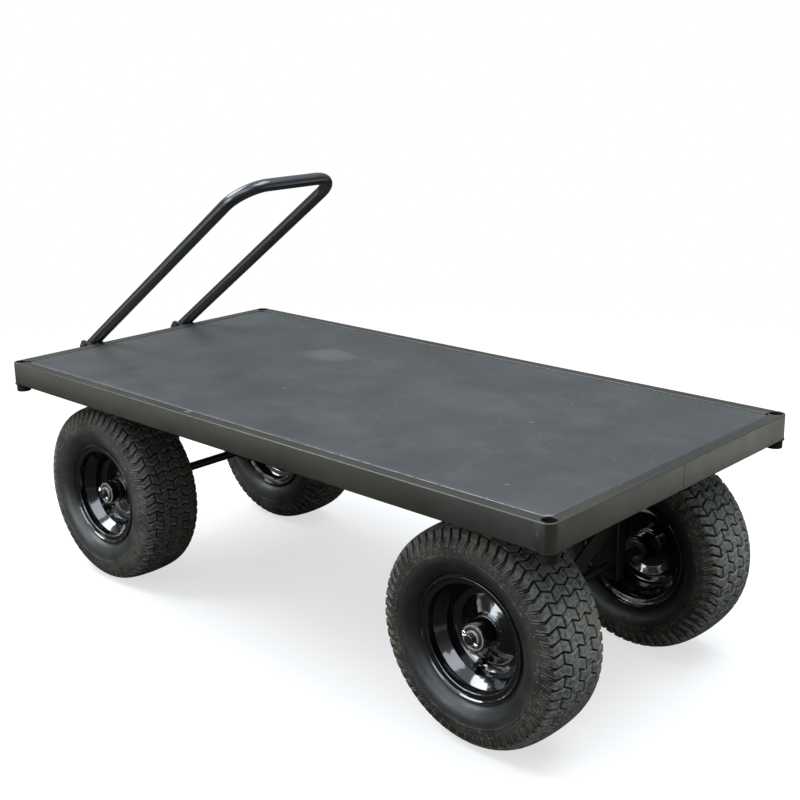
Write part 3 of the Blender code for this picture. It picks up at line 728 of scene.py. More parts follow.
def skin_section(v, h):
    """Offset and radius at height h above the skin."""
    return (along_skin(v, OFFSET) + h * along_skin(v, NORMAL_O),
            along_skin(v, RADIUS) + h * along_skin(v, NORMAL_R))


def tyre_point(angle, v, h):
    offset, radius = skin_section(v, h)
    offset = math.copysign(offset, v) if v else 0.0
    return (radius * cos(angle), -offset, radius * sin(angle))


def groove_depth(v):
    """Full over the tread, running out down the wall."""
    return GROOVE_DEPTH * float(np.interp(
        abs(v), [0, 0.064, 0.072, 0.080, 0.088, LUG_END], [1, 1, 0.80, 0.34, 0.10, 0.0]))


def zigzag(v):
    """Swing of a groove at v, as a length round the tyre."""
    row = abs(v) / ROW
    if row <= 4.0:
        t = row % 2.0
        to_odd = t if t <= 1 else 2 - t  # 0 at even rows, 1 at odd rows
        return ZIGZAG * (2 * to_odd - 1)
    return float(np.interp(row, [4.0, 5.4], [-ZIGZAG, ZIGZAG * 0.9]))


def stations(v0, v1, step=0.0058):
    """Values of v from v0 to v1 that include every row line between them."""
    marks = {round(v0, 6), round(v1, 6)}
    k = math.ceil(v0 / ROW)
    while k * ROW < v1:
        if v0 + 0.001 < k * ROW < v1 - 0.001:
            marks.add(round(k * ROW, 6))
        k += 1
    marks = sorted(marks)
    out = []
    for a, b in zip(marks, marks[1:]):
        n = max(1, round((b - a) / step))
        out += [a + (b - a) * i / n for i in range(n)]
    return out + [marks[-1]]


def tread_block(bm, top, line, column, v0, v1, lug=0):
    """One raised block between two zigzag grooves; lug is -1 or +1 where it runs down that wall."""
    bevel = BLOCK_BEVEL
    half = GROOVE / 2
    vs = stations(v0 + (half if lug != -1 else 0), v1 - (half if lug != 1 else 0))
    inside = [v for v in vs[1:-1] if vs[0] + 1.6 * bevel < v < vs[-1] - 1.6 * bevel]
    vs = [vs[0], vs[0] + bevel] + inside + [vs[-1] - bevel, vs[-1]]
    rings = []
    for i, v in enumerate(vs):
        at_end = i in (0, len(vs) - 1)
        on_shoulder = abs(v) > SHOULDER
        radius = along_skin(v, RADIUS)
        widening = float(np.interp(abs(v), [0.048, 0.060, 0.072, 0.084, 0.094],
                                   [0, 0.0005, 0.0014, 0.0012, 0.0004]))
        gap = (half + widening) / radius
        bevel_angle = bevel / radius
        swing = zigzag(v) / radius
        left = column * HALF_PITCH + swing + gap
        right = (column + 1) * HALF_PITCH + swing - gap
        face = -0.0005 * (abs(v) - 0.088) / 0.006 if lug and abs(v) > 0.088 else 0.0
        side = face - bevel
        if at_end:
            face = side
        foot = -groove_depth(v) - 0.0006
        draft = 0.0005 / radius
        ring = [(left - draft, foot), (left, side)]
        for t in (0.0, 0.34, 0.66, 1.0):
            ring.append((left + bevel_angle + (right - left - 2 * bevel_angle) * t, face))
        ring += [(right, side), (right + draft, foot)]
        rings.append([bm.verts.new(tyre_point(angle, v, h)) for angle, h in ring])
        for k, vert in enumerate(rings[-1]):
            vert[top] = 1.0
            if k in (0, 7):
                vert[top] = 0.5
            elif lug and on_shoulder:
                vert[top] = max(0.5, 1.0 - (abs(v) - SHOULDER) / 0.012 * 0.5)
            if on_shoulder:
                vert[line] = SHOULDER_LINE[k]
            else:
                vert[line] = 0.4 if at_end else TREAD_LINE[k]
    skin(bm, rings, caps=True)


def wall_rib(bm, top, line, column, side):
    """Thin raised line that carries a shoulder groove on down the wall."""
    v0, v1, half_width = 0.0735, 0.0985, 0.0011
    rings = []
    for i in range(8):
        t = i / 7
        v = v0 + (v1 - v0) * t
        radius = along_skin(v, RADIUS)
        middle = column * HALF_PITCH + zigzag(v) / radius
        crest = 0.00075 * sin(pi * min(1, 0.15 + 0.85 * t)) ** 0.6 if 0 < i < 7 else -0.0002
        base = -groove_depth(v) - 0.0008
        section = ((-1, base), (-0.45, crest), (0.45, crest), (1, base))
        rings.append([bm.verts.new(tyre_point(middle + w * half_width / radius, side * v, h))
                      for w, h in section])
        for vert in rings[-1]:
            vert[top] = 0.62
        # the rib's crest carries the painted highlight
        for vert in rings[-1][1:3]:
            vert[line] = 1.0 if 0 < i < 6 else 0.0
    skin(bm, rings, caps=True)


def carcass_point(v):
    """Offset, radius and "top" value of the skin under the blocks, with its raised rings."""
    depth = groove_depth(v)
    height = -depth
    for ring_r, width, ring_h in WALL_RINGS:
        height += ring_h * math.exp(-((along_skin(v, RADIUS) - ring_r) / width) ** 2)
    return (*skin_section(v, height), 0.0 if depth > 0.0014 else 0.5)


def carcass_profile():
    """Closed section of the tyre without its blocks."""
    vs = (list(np.linspace(0, 0.060, 10)) + list(np.linspace(0.063, 0.100, 18))
          + list(np.linspace(0.1015, float(ARC[-1]), 22)))
    for ring_r, width, _ in WALL_RINGS:
        for k in (-2, -1, 0, 1, 2):
            vs.append(float(np.interp(-(ring_r + k * width * 0.8), -RADIUS, ARC)))
    half = [carcass_point(v) for v in vs]
    # the tread comes first, ordered by offset; the wall follows, ordered by radius
    half.sort(key=lambda p: -p[1] if p[1] < 0.18 else -(0.5 - p[0]))
    half = [half[0]] + [q for p, q in zip(half, half[1:])
                        if math.hypot(q[0] - p[0], q[1] - p[1]) > 2e-4]
    half += [(o * WHEEL_SCALE, r * WHEEL_SCALE, 0.5) for o, r in TYRE_INSIDE]
    return half + [(-o, r, t) for o, r, t in reversed(half[1:-1])]


def tyre_mesh():
    bm = bmesh.new()
    top = bm.verts.layers.float.new("top")
    line = bm.verts.layers.float.new("line")
    profile = carcass_profile()
    lathe(profile, 240, bm)
    for i, vert in enumerate(bm.verts):
        vert[top] = profile[i % len(profile)][2]
    for column in range(2 * TREAD_PITCHES):
        cuts = (-3, -1, 1, 3) if column % 2 == 0 else (-2, 0, 2)
        cuts = [c * ROW for c in cuts]
        tread_block(bm, top, line, column, -LUG_END, cuts[0], lug=-1)
        for a, b in zip(cuts, cuts[1:]):
            tread_block(bm, top, line, column, a, b)
        tread_block(bm, top, line, column, cuts[-1], LUG_END, lug=1)
        wall_rib(bm, top, line, column, 1)
        wall_rib(bm, top, line, column, -1)
    return finished(bm, "tyre_mesh")


# =====================================================================================
# wheels
# =====================================================================================
HUB_HALF = 0.5 * 0.0948  # half the hub tube's length

# closed wheel section: offset, radius, corner rounding
WHEEL_SECTION = [
    # outer skin, from the lip inwards to the hub
    (0.0572, 0.1130, 0.0008), (0.0592, 0.1126, 0.0010), (0.0590, 0.1108, 0.0010),
    (0.0562, 0.1088, 0.0018), (0.0548, 0.1030, 0.0040), (0.0540, 0.0990, 0.0040),
    (0.0430, 0.0972, 0.0040), (0.0395, 0.0980, 0.0040), (0.0355, 0.0945, 0.0050),
    (0.0200, 0.0822, 0.0060), (0.0040, 0.0800, 0.0040), (0.0006, 0.0762, 0.0030),
    (-0.0030, 0.0660, 0.0120), (0.0030, 0.0480, 0.0200), (0.0075, 0.0330, 0.0060),
    (0.0105, 0.0290, 0.0030), (0.0120, 0.0265, 0.0010),
    # hub tube
    (HUB_HALF - 0.0002, 0.0265, 0.0008), (HUB_HALF, 0.0240, 0.0004),
    (-HUB_HALF, 0.0240, 0.0004), (-HUB_HALF + 0.0002, 0.0265, 0.0008),
    # back of the disc and the lip on that side
    (-0.0020, 0.0265, 0.0010), (0.0010, 0.0300, 0.0030), (-0.0010, 0.0480, 0.0200),
    (-0.0065, 0.0660, 0.0120), (-0.0034, 0.0790, 0.0030), (-0.0080, 0.0826, 0.0030),
    (-0.0270, 0.0850, 0.0080), (-0.0330, 0.0950, 0.0060), (-0.0375, 0.0990, 0.0050),
    (-0.0420, 0.0975, 0.0060), (-0.0540, 0.0990, 0.0040), (-0.0548, 0.1030, 0.0040),
    (-0.0565, 0.1098, 0.0020), (-0.0606, 0.1118, 0.0016), (-0.0600, 0.1138, 0.0018),
    # tyre side of the rim
    (-0.0565, 0.1136, 0.0010), (-0.0545, 0.1115, 0.0020), (-0.0530, 0.1050, 0.0020),
    (-0.0528, 0.1020, 0.0020), (-0.0350, 0.1018, 0.0030), (-0.0290, 0.0900, 0.0050),
    (0.0290, 0.0900, 0.0050), (0.0350, 0.1018, 0.0030), (0.0528, 0.1020, 0.0020),
    (0.0530, 0.1050, 0.0020), (0.0545, 0.1120, 0.0020),
]


def hub_weld(bm, offset, ring_r=0.0275, radius=0.0022):
    """Weld ring where the disc meets the hub tube."""
    rnd = random.Random(5)
    rings = []
    for i, (c, s) in enumerate(circle(120)):
        w = radius * (1 + 0.12 * cos(2 * pi * i / 4) + rnd.uniform(-0.05, 0.05))
        rings.append([bm.verts.new(((ring_r + w * cb) * c, -(offset + w * sb),
                                    (ring_r + w * cb) * s)) for cb, sb in circle(10)])
    skin(bm, rings, close=True)


def wheel_mesh():
    outline = fillet([(o * WHEEL_SCALE, r * WHEEL_SCALE, rounding)
                      for o, r, rounding in WHEEL_SECTION], 6)
    bm = lathe(outline, 144)
    for offset in (0.0122, -0.0022):
        hub_weld(bm, offset)
    return finished(bm, "wheel_mesh")


def bearing_mesh():
    """Outer race, inner race and shield of a sealed ball bearing; its face looks to -Y."""
    face = HUB_HALF - 0.0005
    back = face - 0.0140
    outer = [(back, 0.0201, 0.0003), (back, 0.0237, 0.0004), (face, 0.0237, 0.0006),
             (face, 0.0203, 0.0004), (face - 0.0014, 0.0201, 0.0002)]
    inner = [(back, 0.0106, 0.0003), (back, 0.0137, 0.0003), (face - 0.0014, 0.0137, 0.0002),
             (face, 0.0134, 0.0004), (face, 0.0106, 0.0004)]
    shield = [(back + 0.001, 0.0136, 0.0), (back + 0.001, 0.0202, 0.0),
              (face - 0.0009, 0.0202, 0.0004), (face - 0.0004, 0.0186, 0.0010),
              (face - 0.0004, 0.0160, 0.0010), (face - 0.0010, 0.0136, 0.0004)]
    bm = bmesh.new()
    for outline, material in ((outer, 0), (inner, 0), (shield, 1)):
        lathe(fillet(outline, 4), 96, bm, material)
    return finished(bm, "bearing_mesh")


# valve stem and cap before scaling: distance from the base, radius
VALVE_OUTLINE = [
    (0.0, 0.0072), (0.0012, 0.0076), (0.0030, 0.0074), (0.0046, 0.0062), (0.0062, 0.0046),
    (0.0090, 0.0041), (0.0180, 0.0038), (0.0196, 0.0037), (0.0199, 0.0043), (0.0206, 0.0046),
    (0.0282, 0.0046), (0.0300, 0.0043), (0.0312, 0.0034), (0.0316, 0.0016),
]
VALVE_LONG, VALVE_WIDE = 0.80, 0.84  # scales of the outline's two columns


def valve_mesh():
    """Snap-in stem with a ribbed cap; runs along -Y from its base at the origin."""
    rings = []
    for offset, radius in VALVE_OUTLINE:
        offset, radius = offset * VALVE_LONG, radius * VALVE_WIDE
        rib = 0.035 if 0.0160 < offset < 0.0240 else 0
        ring = []
        for k, (c, s) in enumerate(circle(48)):
            r = radius * (1 + rib * cos(16 * 2 * pi * k / 48))
            ring.append((r * c, -offset, r * s))
        rings.append(ring)
    return finished(loft(rings), "valve_mesh")


def washer_mesh():
    outline = [(0.0, 0.0105, 0.0002), (0.0, 0.0145, 0.0004), (0.0022, 0.0145, 0.0007),
               (0.0022, 0.0105, 0.0003)]
    return finished(lathe(fillet(outline, 4), 96), "washer_mesh")


PIN_Y = 0.3068          # split pins, either side of the middle
PIN_TILT = radians(28)  # below +X
# near part of each wire of the pin: place along the pin, distance from its middle line
PIN_WIRE = ((-0.0120, 0.00075), (0.0105, 0.00075), (0.0132, 0.0009), (0.0156, 0.0016))


def split_pin(tag, side, carrier):
    """Two wires out of one eye, with opened ends."""
    hub = centre("tyre_" + tag)
    middle = Vector((hub.x, side * PIN_Y, hub.z))
    along = Vector((cos(PIN_TILT), 0, -sin(PIN_TILT)))
    outward = Vector((0, side, 0))
    across = along.cross(outward)
    bm = bmesh.new()
    for sign, tip in ((-1, (0.0180, 0.0030)), (1, (0.0186, 0.0050))):
        wire = [middle + along * far + across * (spread * sign)
                for far, spread in (*PIN_WIRE, tip)]
        sweep(catmull(wire, 6), 0.00105, 12, outward, bm=bm)
    eye = []
    for k in range(25):
        turn = radians(25 + 310 * k / 24)
        eye.append(middle - along * 0.0158 + along * (0.0040 * cos(turn))
                   + across * (0.0034 * sin(turn)))
    sweep(eye, 0.00150, 12, outward, bm=bm)
    build("cotter_" + tag, bm, "pin", carrier, "zinc_plate", "split_pin_" + tag, 40)


def inner_face(name, side):
    """Middle of the face of a piece that looks to the trolley's centre line."""
    low, high = box(name)
    return Vector(((low.x + high.x) / 2, high.y if side < 0 else low.y, (low.z + high.z) / 2))


tyre, wheel, bearing = tyre_mesh(), wheel_mesh(), bearing_mesh()
valve, washer = valve_mesh(), washer_mesh()
bearing_inner = bearing.copy()


def wheel_set(tag, side, phase, carrier):
    """Tyre, wheel, bearings, valve, washer and split pin of one wheel."""
    body = "wheel_set_" + tag
    half_turn = Matrix.Rotation(pi, 4, "Z")
    turn = Matrix.Identity(4) if side < 0 else half_turn
    at_hub = Matrix.Translation(centre("tyre_" + tag)) @ turn
    own = tyre.copy()
    own.transform(Matrix.Rotation(radians(phase), 4, "Y"))
    # steering tyres take the rubber copy with painted light and shade
    place("tyre_turf_" + tag, own, "rubber_steer_lit_and_shaded" if "steer" in tag else "rubber", body,
          "tyre_rubber", "tyre_" + tag, 42, at_hub)
    place("wheel_steel_" + tag, wheel, "wheel", body, "wheel_paint", "wheel_" + tag, 50, at_hub)
    place("bearing_sealed_" + tag, bearing, "steel shield", body, "bearing_steel",
          "bearing_" + tag, 40, at_hub)
    # the inner bearing is a darker copy: painted shade on the wheel's inner side
    place("bearing_inner_" + tag, bearing_inner, "grease shield", body, "bearing_steel",
          angle=40, matrix=at_hub @ half_turn)
    for name, mesh, look, rides, slot, node in (
            ("valve_stem_", valve, "valve", body, "valve_rubber", "valve_" + tag),
            ("washer_plate_", washer, "zinc", carrier, "zinc_plate", "washer_" + tag)):
        place(name + tag, mesh, look, rides, slot, node, 40,
              Matrix.Translation(inner_face(node, side)) @ turn)
    split_pin(tag, side, carrier)


# tag, side, turn of the tread in degrees, body that carries the axle
for corner in (("tail_near", -1, 7.0, "deck"), ("tail_far", 1, 31.0, "deck"),
               ("steer_near", -1, 17.0, "turntable"), ("steer_far", 1, 52.0, "turntable")):
    wheel_set(*corner)


# =====================================================================================
# axles and underframe
# =====================================================================================
BEARERS = ("bearer_tail", "bearer_mid_tail", "bearer_mid_handle", "bearer_ring_tail",
           "bearer_ring_handle")
TAIL_LEGS = ("tail_leg_near", "tail_leg_far")
STEER_LEGS = ("steer_leg_near", "steer_leg_far")


def axle(name, body):
    """Round bar with rounded ends."""
    low, high = box(name)
    c = (low + high) / 2
    radius = (high.z - low.z) / 2
    half = (high.y - low.y) / 2
    end = [(-half, radius * 0.30), (-half, radius - 0.0016), (-half + 0.0005, radius - 0.0008),
           (-half + 0.0016, radius)]
    profile = end + [(-offset, r) for offset, r in reversed(end)]
    rings = [[(c.x + r * ca, c.y + offset, c.z + r * sa) for ca, sa in circle(48)]
             for offset, r in profile]
    build(name + "_bar", loft(rings), "frame", body, "frame_paint", name, 30)


axle("tail_axle", "deck")
axle("steer_axle", "turntable")
for names, axis, body in ((BEARERS, "Y", "deck"), (TAIL_LEGS, "Z", "deck"),
                          (STEER_LEGS, "Z", "turntable")):
    for name in names:
        build(name + "_tube", hollow_bar(*box(name), axis), "frame", body, "frame_paint", name)

# CAD pieces used as they are, with a finish and softened edges: look, bevel width, pieces
KEPT = (
    ("frame", 0.0008, "ring_plate_upper ring_plate_lower"),
    ("grease", 0.0006, "ring_race"),
    ("zinc", 0.0006, "kingpin_bolt"),
    ("zinc", 0.0005, "kingpin_nut"),
    ("frame", 0.0007, "tail_tie steer_tie"),
    ("frame", 0.0005, "bracket_near bracket_far"),
    ("frame", 0.0004, "pivot_bolt_near pivot_bolt_far pivot_nut_near pivot_nut_far"),
)


def keep(name, look, width):
    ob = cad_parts[name]
    for slot in ob.material_slots:
        slot.material = LOOK[look]
    if not ob.material_slots:
        ob.data.materials.append(LOOK[look])
    join = ob.modifiers.new("join", "WELD")
    join.merge_threshold = 1e-5
    soften = ob.modifiers.new("soften", "BEVEL")
    soften.width = width
    soften.segments = 2
    soften.limit_method = "ANGLE"
    soften.angle_limit = radians(38)
    soften.harden_normals = True


for look, width, names in KEPT:
    for name in names.split():
        keep(name, look, width)


def weld_leg(bm, name, radius, seed):
    """Welds round a leg's top and round the axle on both its faces; returns the last seed."""
    low, high = box(name)
    z = high.z
    ring = [(low.x, low.y, z), (high.x, low.y, z), (high.x, high.y, z), (low.x, high.y, z),
            (low.x, low.y, z)]
    for a, b in zip(ring, ring[1:]):
        seed += 1
        weld([a, b], radius, seed, bm)
    middle_x = centre(name).x
    for y in (low.y, high.y):
        weld([(middle_x + 0.0112 * c, y, NOMINAL_R + 0.0112 * s)
              for c, s in circle(24, closed=True)], 0.0020, seed, bm, up=(0, 1, 0))
    return seed


def weld_bearer(bm, name, seed):
    """Welds up both edges and along the bottom of a bearer's ends; returns the last seed."""
    low, high = box(name)
    for y in (low.y, high.y):
        for x in (low.x, high.x):
            seed += 1
            weld([(x, y, low.z + 0.002), (x, y, high.z - 0.003)], 0.0022, seed, bm, up=(0, 1, 0))
        seed += 1
        weld([(low.x + 0.001, y, low.z), (high.x - 0.001, y, low.z)], 0.0022, seed, bm)
    return seed


bm = bmesh.new()
seed = 11
for name in TAIL_LEGS:
    seed = weld_leg(bm, name, 0.0030, seed)
# upright welds at the ends of the tail tie, which sit at different heights
tie_low, tie_high = box("tail_tie")
for y, z0, z1 in ((tie_low.y + 0.0005, 0.183, 0.219), (tie_high.y - 0.0005, 0.322, 0.358)):
    seed += 1
    weld([(tie_low.x, y, z0), (tie_low.x, y, z1)], 0.0024, seed, bm, up=(0, 1, 0))
for name in BEARERS:
    seed = weld_bearer(bm, name, seed)
build("deck_underside_welds", bm, "frame", "deck", "frame_paint", angle=60)

bm = bmesh.new()
for name in STEER_LEGS:
    seed = weld_leg(bm, name, 0.0028, seed)
build("turntable_welds", bm, "frame", "turntable", "frame_paint", angle=60)


# =====================================================================================
# deck rim, corners and stake sockets
# =====================================================================================
def rim_rail(name, axis, low, high, node):
    """Long rolled section with soft corners, slightly wavy so that the light breaks up on it."""
    (start, end), section = section_of(low, high, axis)
    steps = 72
    outline = round_rect(*section, RIM_ROUND, 5)
    middle = (section[0] + section[1]) / 2
    rings = []
    for k in range(steps + 1):
        h = start + (end - start) * k / steps
        fade = min(1, k / 8, (steps - k) / 8)
        ring = []
        for p in outline:
            wave = 0.00018 * noise.noise(Vector((h * 6.0, p[0] * 20, p[1] * 20 + 3.7)))
            inward = math.copysign(abs(wave) * fade, p[0] - middle)
            ring.append(on_axis(axis, (p[0] - inward, p[1]), h))
        rings.append(ring)
    build(name, loft(rings), "rim", "deck", "rim_paint", node, 30)


x0, x1 = SOCKET_HANDLE_X + SOCKET_R, SOCKET_TAIL_X - SOCKET_R
y0, y1 = SOCKET_NEAR_Y + SOCKET_R, -SOCKET_NEAR_Y - SOCKET_R
rim_rail("rim_rail_near", "X", (x0, RIM_NEAR_Y, RIM_LOW),
         (x1, RIM_NEAR_Y + RIM_WIDE, RIM_TOP), "rail_near")
rim_rail("rim_rail_far", "X", (x0, -RIM_NEAR_Y - RIM_WIDE, RIM_LOW),
         (x1, -RIM_NEAR_Y, RIM_TOP), "rail_far")
rim_rail("rim_rail_tail", "Y", (RIM_TAIL_X - RIM_WIDE, y0, RIM_LOW),
         (RIM_TAIL_X, y1, RIM_TOP), "rail_tail_end")
rim_rail("rim_rail_handle", "Y", (RIM_HANDLE_X, y0, RIM_LOW),
         (RIM_HANDLE_X + RIM_WIDE, y1, RIM_TOP), "rail_handle_end")


def corner_outline():
    """Outline of a corner piece about the socket's axis, u and v growing outwards.

    Each point is (u, v, weight, direction): how far and which way it draws in where the
    top and bottom edges are rounded.
    """
    outer = SOCKET_INSET
    hole = SOCKET_R - 0.0003
    half = SOCKET_R
    inner = SOCKET_INSET - RIM_WIDE  # the rim's inner edge, negative
    pts = [(-half, outer, 1.0, (0, -1)), (-half * 0.5, outer, 1.0, (0, -1)),
           (0, outer, 0.55, (0, -1))]
    for k in range(1, 12):
        a = radians(90 - 90 * k / 12)
        pts.append((outer * cos(a), outer * sin(a), 0.36, (-cos(a), -sin(a))))
    pts += [(outer, 0, 0.55, (-1, 0)), (outer, -half * 0.5, 1.0, (-1, 0)),
            (outer, -half, 1.0, (-1, 0)), (inner, -half, 0, (0, 0))]
    # round the socket's hole through its outer side
    reach = math.sqrt(hole ** 2 - inner ** 2)
    start = math.atan2(-reach, inner)
    span = (math.atan2(inner, -reach) - start) % (2 * pi)
    for k in range(41):
        a = start + span * k / 40
        pts.append((hole * cos(a), hole * sin(a), 0, (0, 0)))
    pts.append((-half, inner, 0, (0, 0)))
    return pts


def rim_corner(name, cx, cy, ex, ey):
    """Rounded, welded and ground corner wrapped round a stake socket."""
    bend = [(RIM_ROUND * (1 - cos(k * pi / 8)), RIM_ROUND * (1 - sin(k * pi / 8)))
            for k in range(5)]
    levels = [(RIM_LOW + rise, inset) for rise, inset in bend]
    levels += [(RIM_TOP - rise, inset) for rise, inset in reversed(bend)]
    rings = [[(cx + ex * (u + d[0] * inset * weight), cy + ey * (v + d[1] * inset * weight), z)
              for u, v, weight, d in corner_outline()] for z, inset in levels]
    build(name, loft(rings), "rim", "deck", "rim_paint", angle=30)


def stake_socket(node, cx, cy):
    """Upright tube, a little thinner below the rim, and there rougher and darker: rust and painted
    shade.
    """
    low, high = box(node)
    bore = 0.0130
    foot_r = SOCKET_R - 0.0008
    top = high.z + 0.0003
    outline = fillet([(low.z, bore, 0.0006), (low.z, foot_r, 0.0010),
                      (RIM_LOW - 0.0004, foot_r, 0.0), (RIM_LOW + 0.0004, SOCKET_R, 0.0),
                      (top, SOCKET_R, 0.0011), (top, bore, 0.0011)], 5)
    bm = bmesh.new()
    rings = [[bm.verts.new((cx + r * c, cy + r * s, z)) for z, r in outline]
             for c, s in circle(72)]
    count = len(outline)
    for i, face in enumerate(skin(bm, rings, close=True)):
        lowest = min(outline[i % count][0], outline[(i + 1) % count][0])
        face.material_index = 1 if lowest < RIM_LOW - 0.0003 else 0
    build("stake_" + node, bm, "rim foot", "deck", "rim_paint", node, 40)


def foot_weld(node, cx, cy, seed):
    """Weld round the socket under the rim."""
    radius = SOCKET_R + 0.0004
    bm = bmesh.new()
    weld([(cx + radius * c, cy + radius * s, RIM_LOW - 0.0003)
          for c, s in circle(40, closed=True)], 0.0019, seed, bm)
    build("weld_foot_" + node, bm, "foot", "deck", "rim_paint", angle=60)


# ex and ey point outwards from the deck
for end, ex, cx in (("handle", -1, SOCKET_HANDLE_X), ("tail", 1, SOCKET_TAIL_X)):
    for side, ey in (("near", -1), ("far", 1)):
        cy = ey * -SOCKET_NEAR_Y
        tag = end + "_" + side
        rim_corner("rim_corner_" + tag, cx, cy, ex, ey)
        stake_socket("socket_" + tag, cx, cy)
        foot_weld("socket_" + tag, cx, cy, 40 + ex * 3 + ey)

# joint marks: a ground weld on the near rail and one on the tail rail
bm = bmesh.new()
for x, y, seed, up in ((-0.113 + SHIFT, RIM_NEAR_Y + 0.0010, 71, (0, 1, 0)),
                       (RIM_TAIL_X - 0.0010, 0.0, 72, (1, 0, 0))):
    weld([(x, y, RIM_LOW + 0.003), (x, y, RIM_TOP - 0.002)], 0.0014, seed, bm, up=up)
build("rim_joint_welds", bm, "rim", "deck", "rim_paint", angle=60)


# =====================================================================================
# deck sheet
# =====================================================================================
SHEET_EDGE = 0.0006   # width of the softened border
SHEET_FADE = 0.05     # ripples die out over this distance from the edges


def sheet_top():
    """Grid of points over the sheet, faintly rippled, with cut corners."""
    start, end, cut, edge = SHEET_LOW.x, SHEET_HIGH.x, SHEET_CUT, SHEET_EDGE
    columns, rows = 90, 46
    xs = [start, start + edge, start + 0.0040, start + cut]
    xs += [start + cut + (end - start - 2 * cut) * k / columns for k in range(1, columns)]
    xs += [end - cut, end - 0.0040, end - edge, end]
    grid = []
    for i, x in enumerate(xs):
        half = SHEET_HIGH.y - max(0.0, start + cut - x, x - (end - cut))
        ys = [-half, -half + edge]
        ys += [-half + edge + (2 * half - 2 * edge) * k / rows for k in range(1, rows)]
        ys += [half - edge, half]
        row = []
        for j, y in enumerate(ys):
            border = i in (0, len(xs) - 1) or j in (0, len(ys) - 1)
            fade = (max(0.0, min(1.0, (half - abs(y)) / SHEET_FADE))
                    * max(0.0, min(1.0, min(x - start, end - x) / SHEET_FADE)))
            wave = (0.00045 * noise.noise(Vector((x * 3.1, y * 4.3, 1.3)))
                    + 0.00018 * noise.noise(Vector((x * 9.0, y * 11.0, 5.1))))
            row.append((x, y, SHEET_HIGH.z - (0.0005 if border else 0.0) - abs(wave) * fade))
        grid.append(row)
    return grid


def deck_sheet():
    grid = sheet_top()
    bm = bmesh.new()
    top = [[bm.verts.new(p) for p in row] for row in grid]
    under = [[bm.verts.new((x, y, SHEET_LOW.z)) for x, y, _ in row] for row in grid]
    nx, ny = len(top), len(top[0])
    for i in range(nx - 1):
        for j in range(ny - 1):
            bm.faces.new((top[i][j], top[i + 1][j], top[i + 1][j + 1], top[i][j + 1]))
            bm.faces.new((under[i][j], under[i][j + 1], under[i + 1][j + 1], under[i + 1][j]))
    border = [(i, 0) for i in range(nx)] + [(nx - 1, j) for j in range(1, ny)]
    border += [(i, ny - 1) for i in range(nx - 2, -1, -1)] + [(0, j) for j in range(ny - 2, 0, -1)]
    for (i, j), (k, m) in zip(border, border[1:] + border[:1]):
        bm.faces.new((top[i][j], under[i][j], under[k][m], top[k][m]))
    build("deck_sheet", bm, "panel", "deck", "deck_paint", "deck_panel", 40)


deck_sheet()


# =====================================================================================
# handle
# =====================================================================================
handle_low, handle_high = box("handle_tube")
PIVOT = Vector((box("bracket_near")[0].x + 0.0158, 0, 0.4768))
HANDLE_R = 0.0135
HANDLE_WALL = 0.0025
HANDLE_HALF = (handle_high.y - handle_low.y) / 2 - HANDLE_R  # middle to a leg's axis
LEAN = radians(54.6)             # from upright, towards the tail
BEND_R = 0.071
HANDLE_LENGTH = 0.7355           # pivot to the grip's axis
LEG_TAIL = 0.018                 # leg beyond the pivot
BORE_R = 0.005 + 0.0005          # pivot pin and clearance


def bored(bm, points, radius, half, sides=24):
    """The closed mesh bm with a round hole along Y cut through it at each point."""
    def temporary(name, mesh):
        ob = bpy.data.objects.new(name, mesh)
        bpy.context.scene.collection.objects.link(ob)
        return ob

    blank = temporary("bore_blank", finished(bm, "bore_blank"))
    extras = [blank]
    for k, point in enumerate(points):
        cone = bmesh.new()
        bmesh.ops.create_cone(
            cone, cap_ends=True, segments=sides, radius1=radius, radius2=radius, depth=2 * half,
            matrix=Matrix.Translation(point) @ Matrix.Rotation(radians(90), 4, "X"))
        mesh = bpy.data.meshes.new("bore_tool_%d" % k)
        cone.to_mesh(mesh)
        cone.free()
        cut = blank.modifiers.new("bore_%d" % k, "BOOLEAN")
        cut.operation = "DIFFERENCE"
        cut.solver = "EXACT"
        cut.object = temporary("bore_tool_%d" % k, mesh)
        extras.append(cut.object)
    result = blank.evaluated_get(bpy.context.evaluated_depsgraph_get())
    out = bmesh.new()
    out.from_mesh(result.to_mesh())
    result.to_mesh_clear()
    for ob in extras:
        mesh = ob.data
        bpy.data.objects.remove(ob)
        bpy.data.meshes.remove(mesh)
    return out


def handle_bow():
    """U-shaped tube from the near leg's end round to the far leg's."""
    lean = Vector((sin(LEAN), 0, cos(LEAN)))
    bend_start = HANDLE_LENGTH - BEND_R
    # near leg and bend, then the grip: place along the lean, place along Y
    near = [(-LEG_TAIL + (bend_start + LEG_TAIL) * k / 24, -HANDLE_HALF) for k in range(24)]
    for k in range(33):
        a = radians(90) * k / 32
        near.append((bend_start + BEND_R * sin(a), -HANDLE_HALF + BEND_R * (1 - cos(a))))
    grip = [(HANDLE_LENGTH, (-HANDLE_HALF + BEND_R) + (2 * HANDLE_HALF - 2 * BEND_R) * k / 8)
            for k in range(1, 8)]
    flat = near + grip + [(along, -across) for along, across in reversed(near)]
    path = [PIVOT + lean * along + Vector((0, across, 0)) for along, across in flat]
    bm = sweep(path, HANDLE_R, 40, lean.cross(Vector((0, 1, 0))), inner=HANDLE_R - HANDLE_WALL)
    holes = [Vector((PIVOT.x, y, PIVOT.z)) for y in (-HANDLE_HALF, HANDLE_HALF)]
    bm = bored(bm, holes, BORE_R, half=0.020)
    build("handle_bow", bm, "handle", "handle", "handle_paint", "handle_tube", 40)


handle_bow()

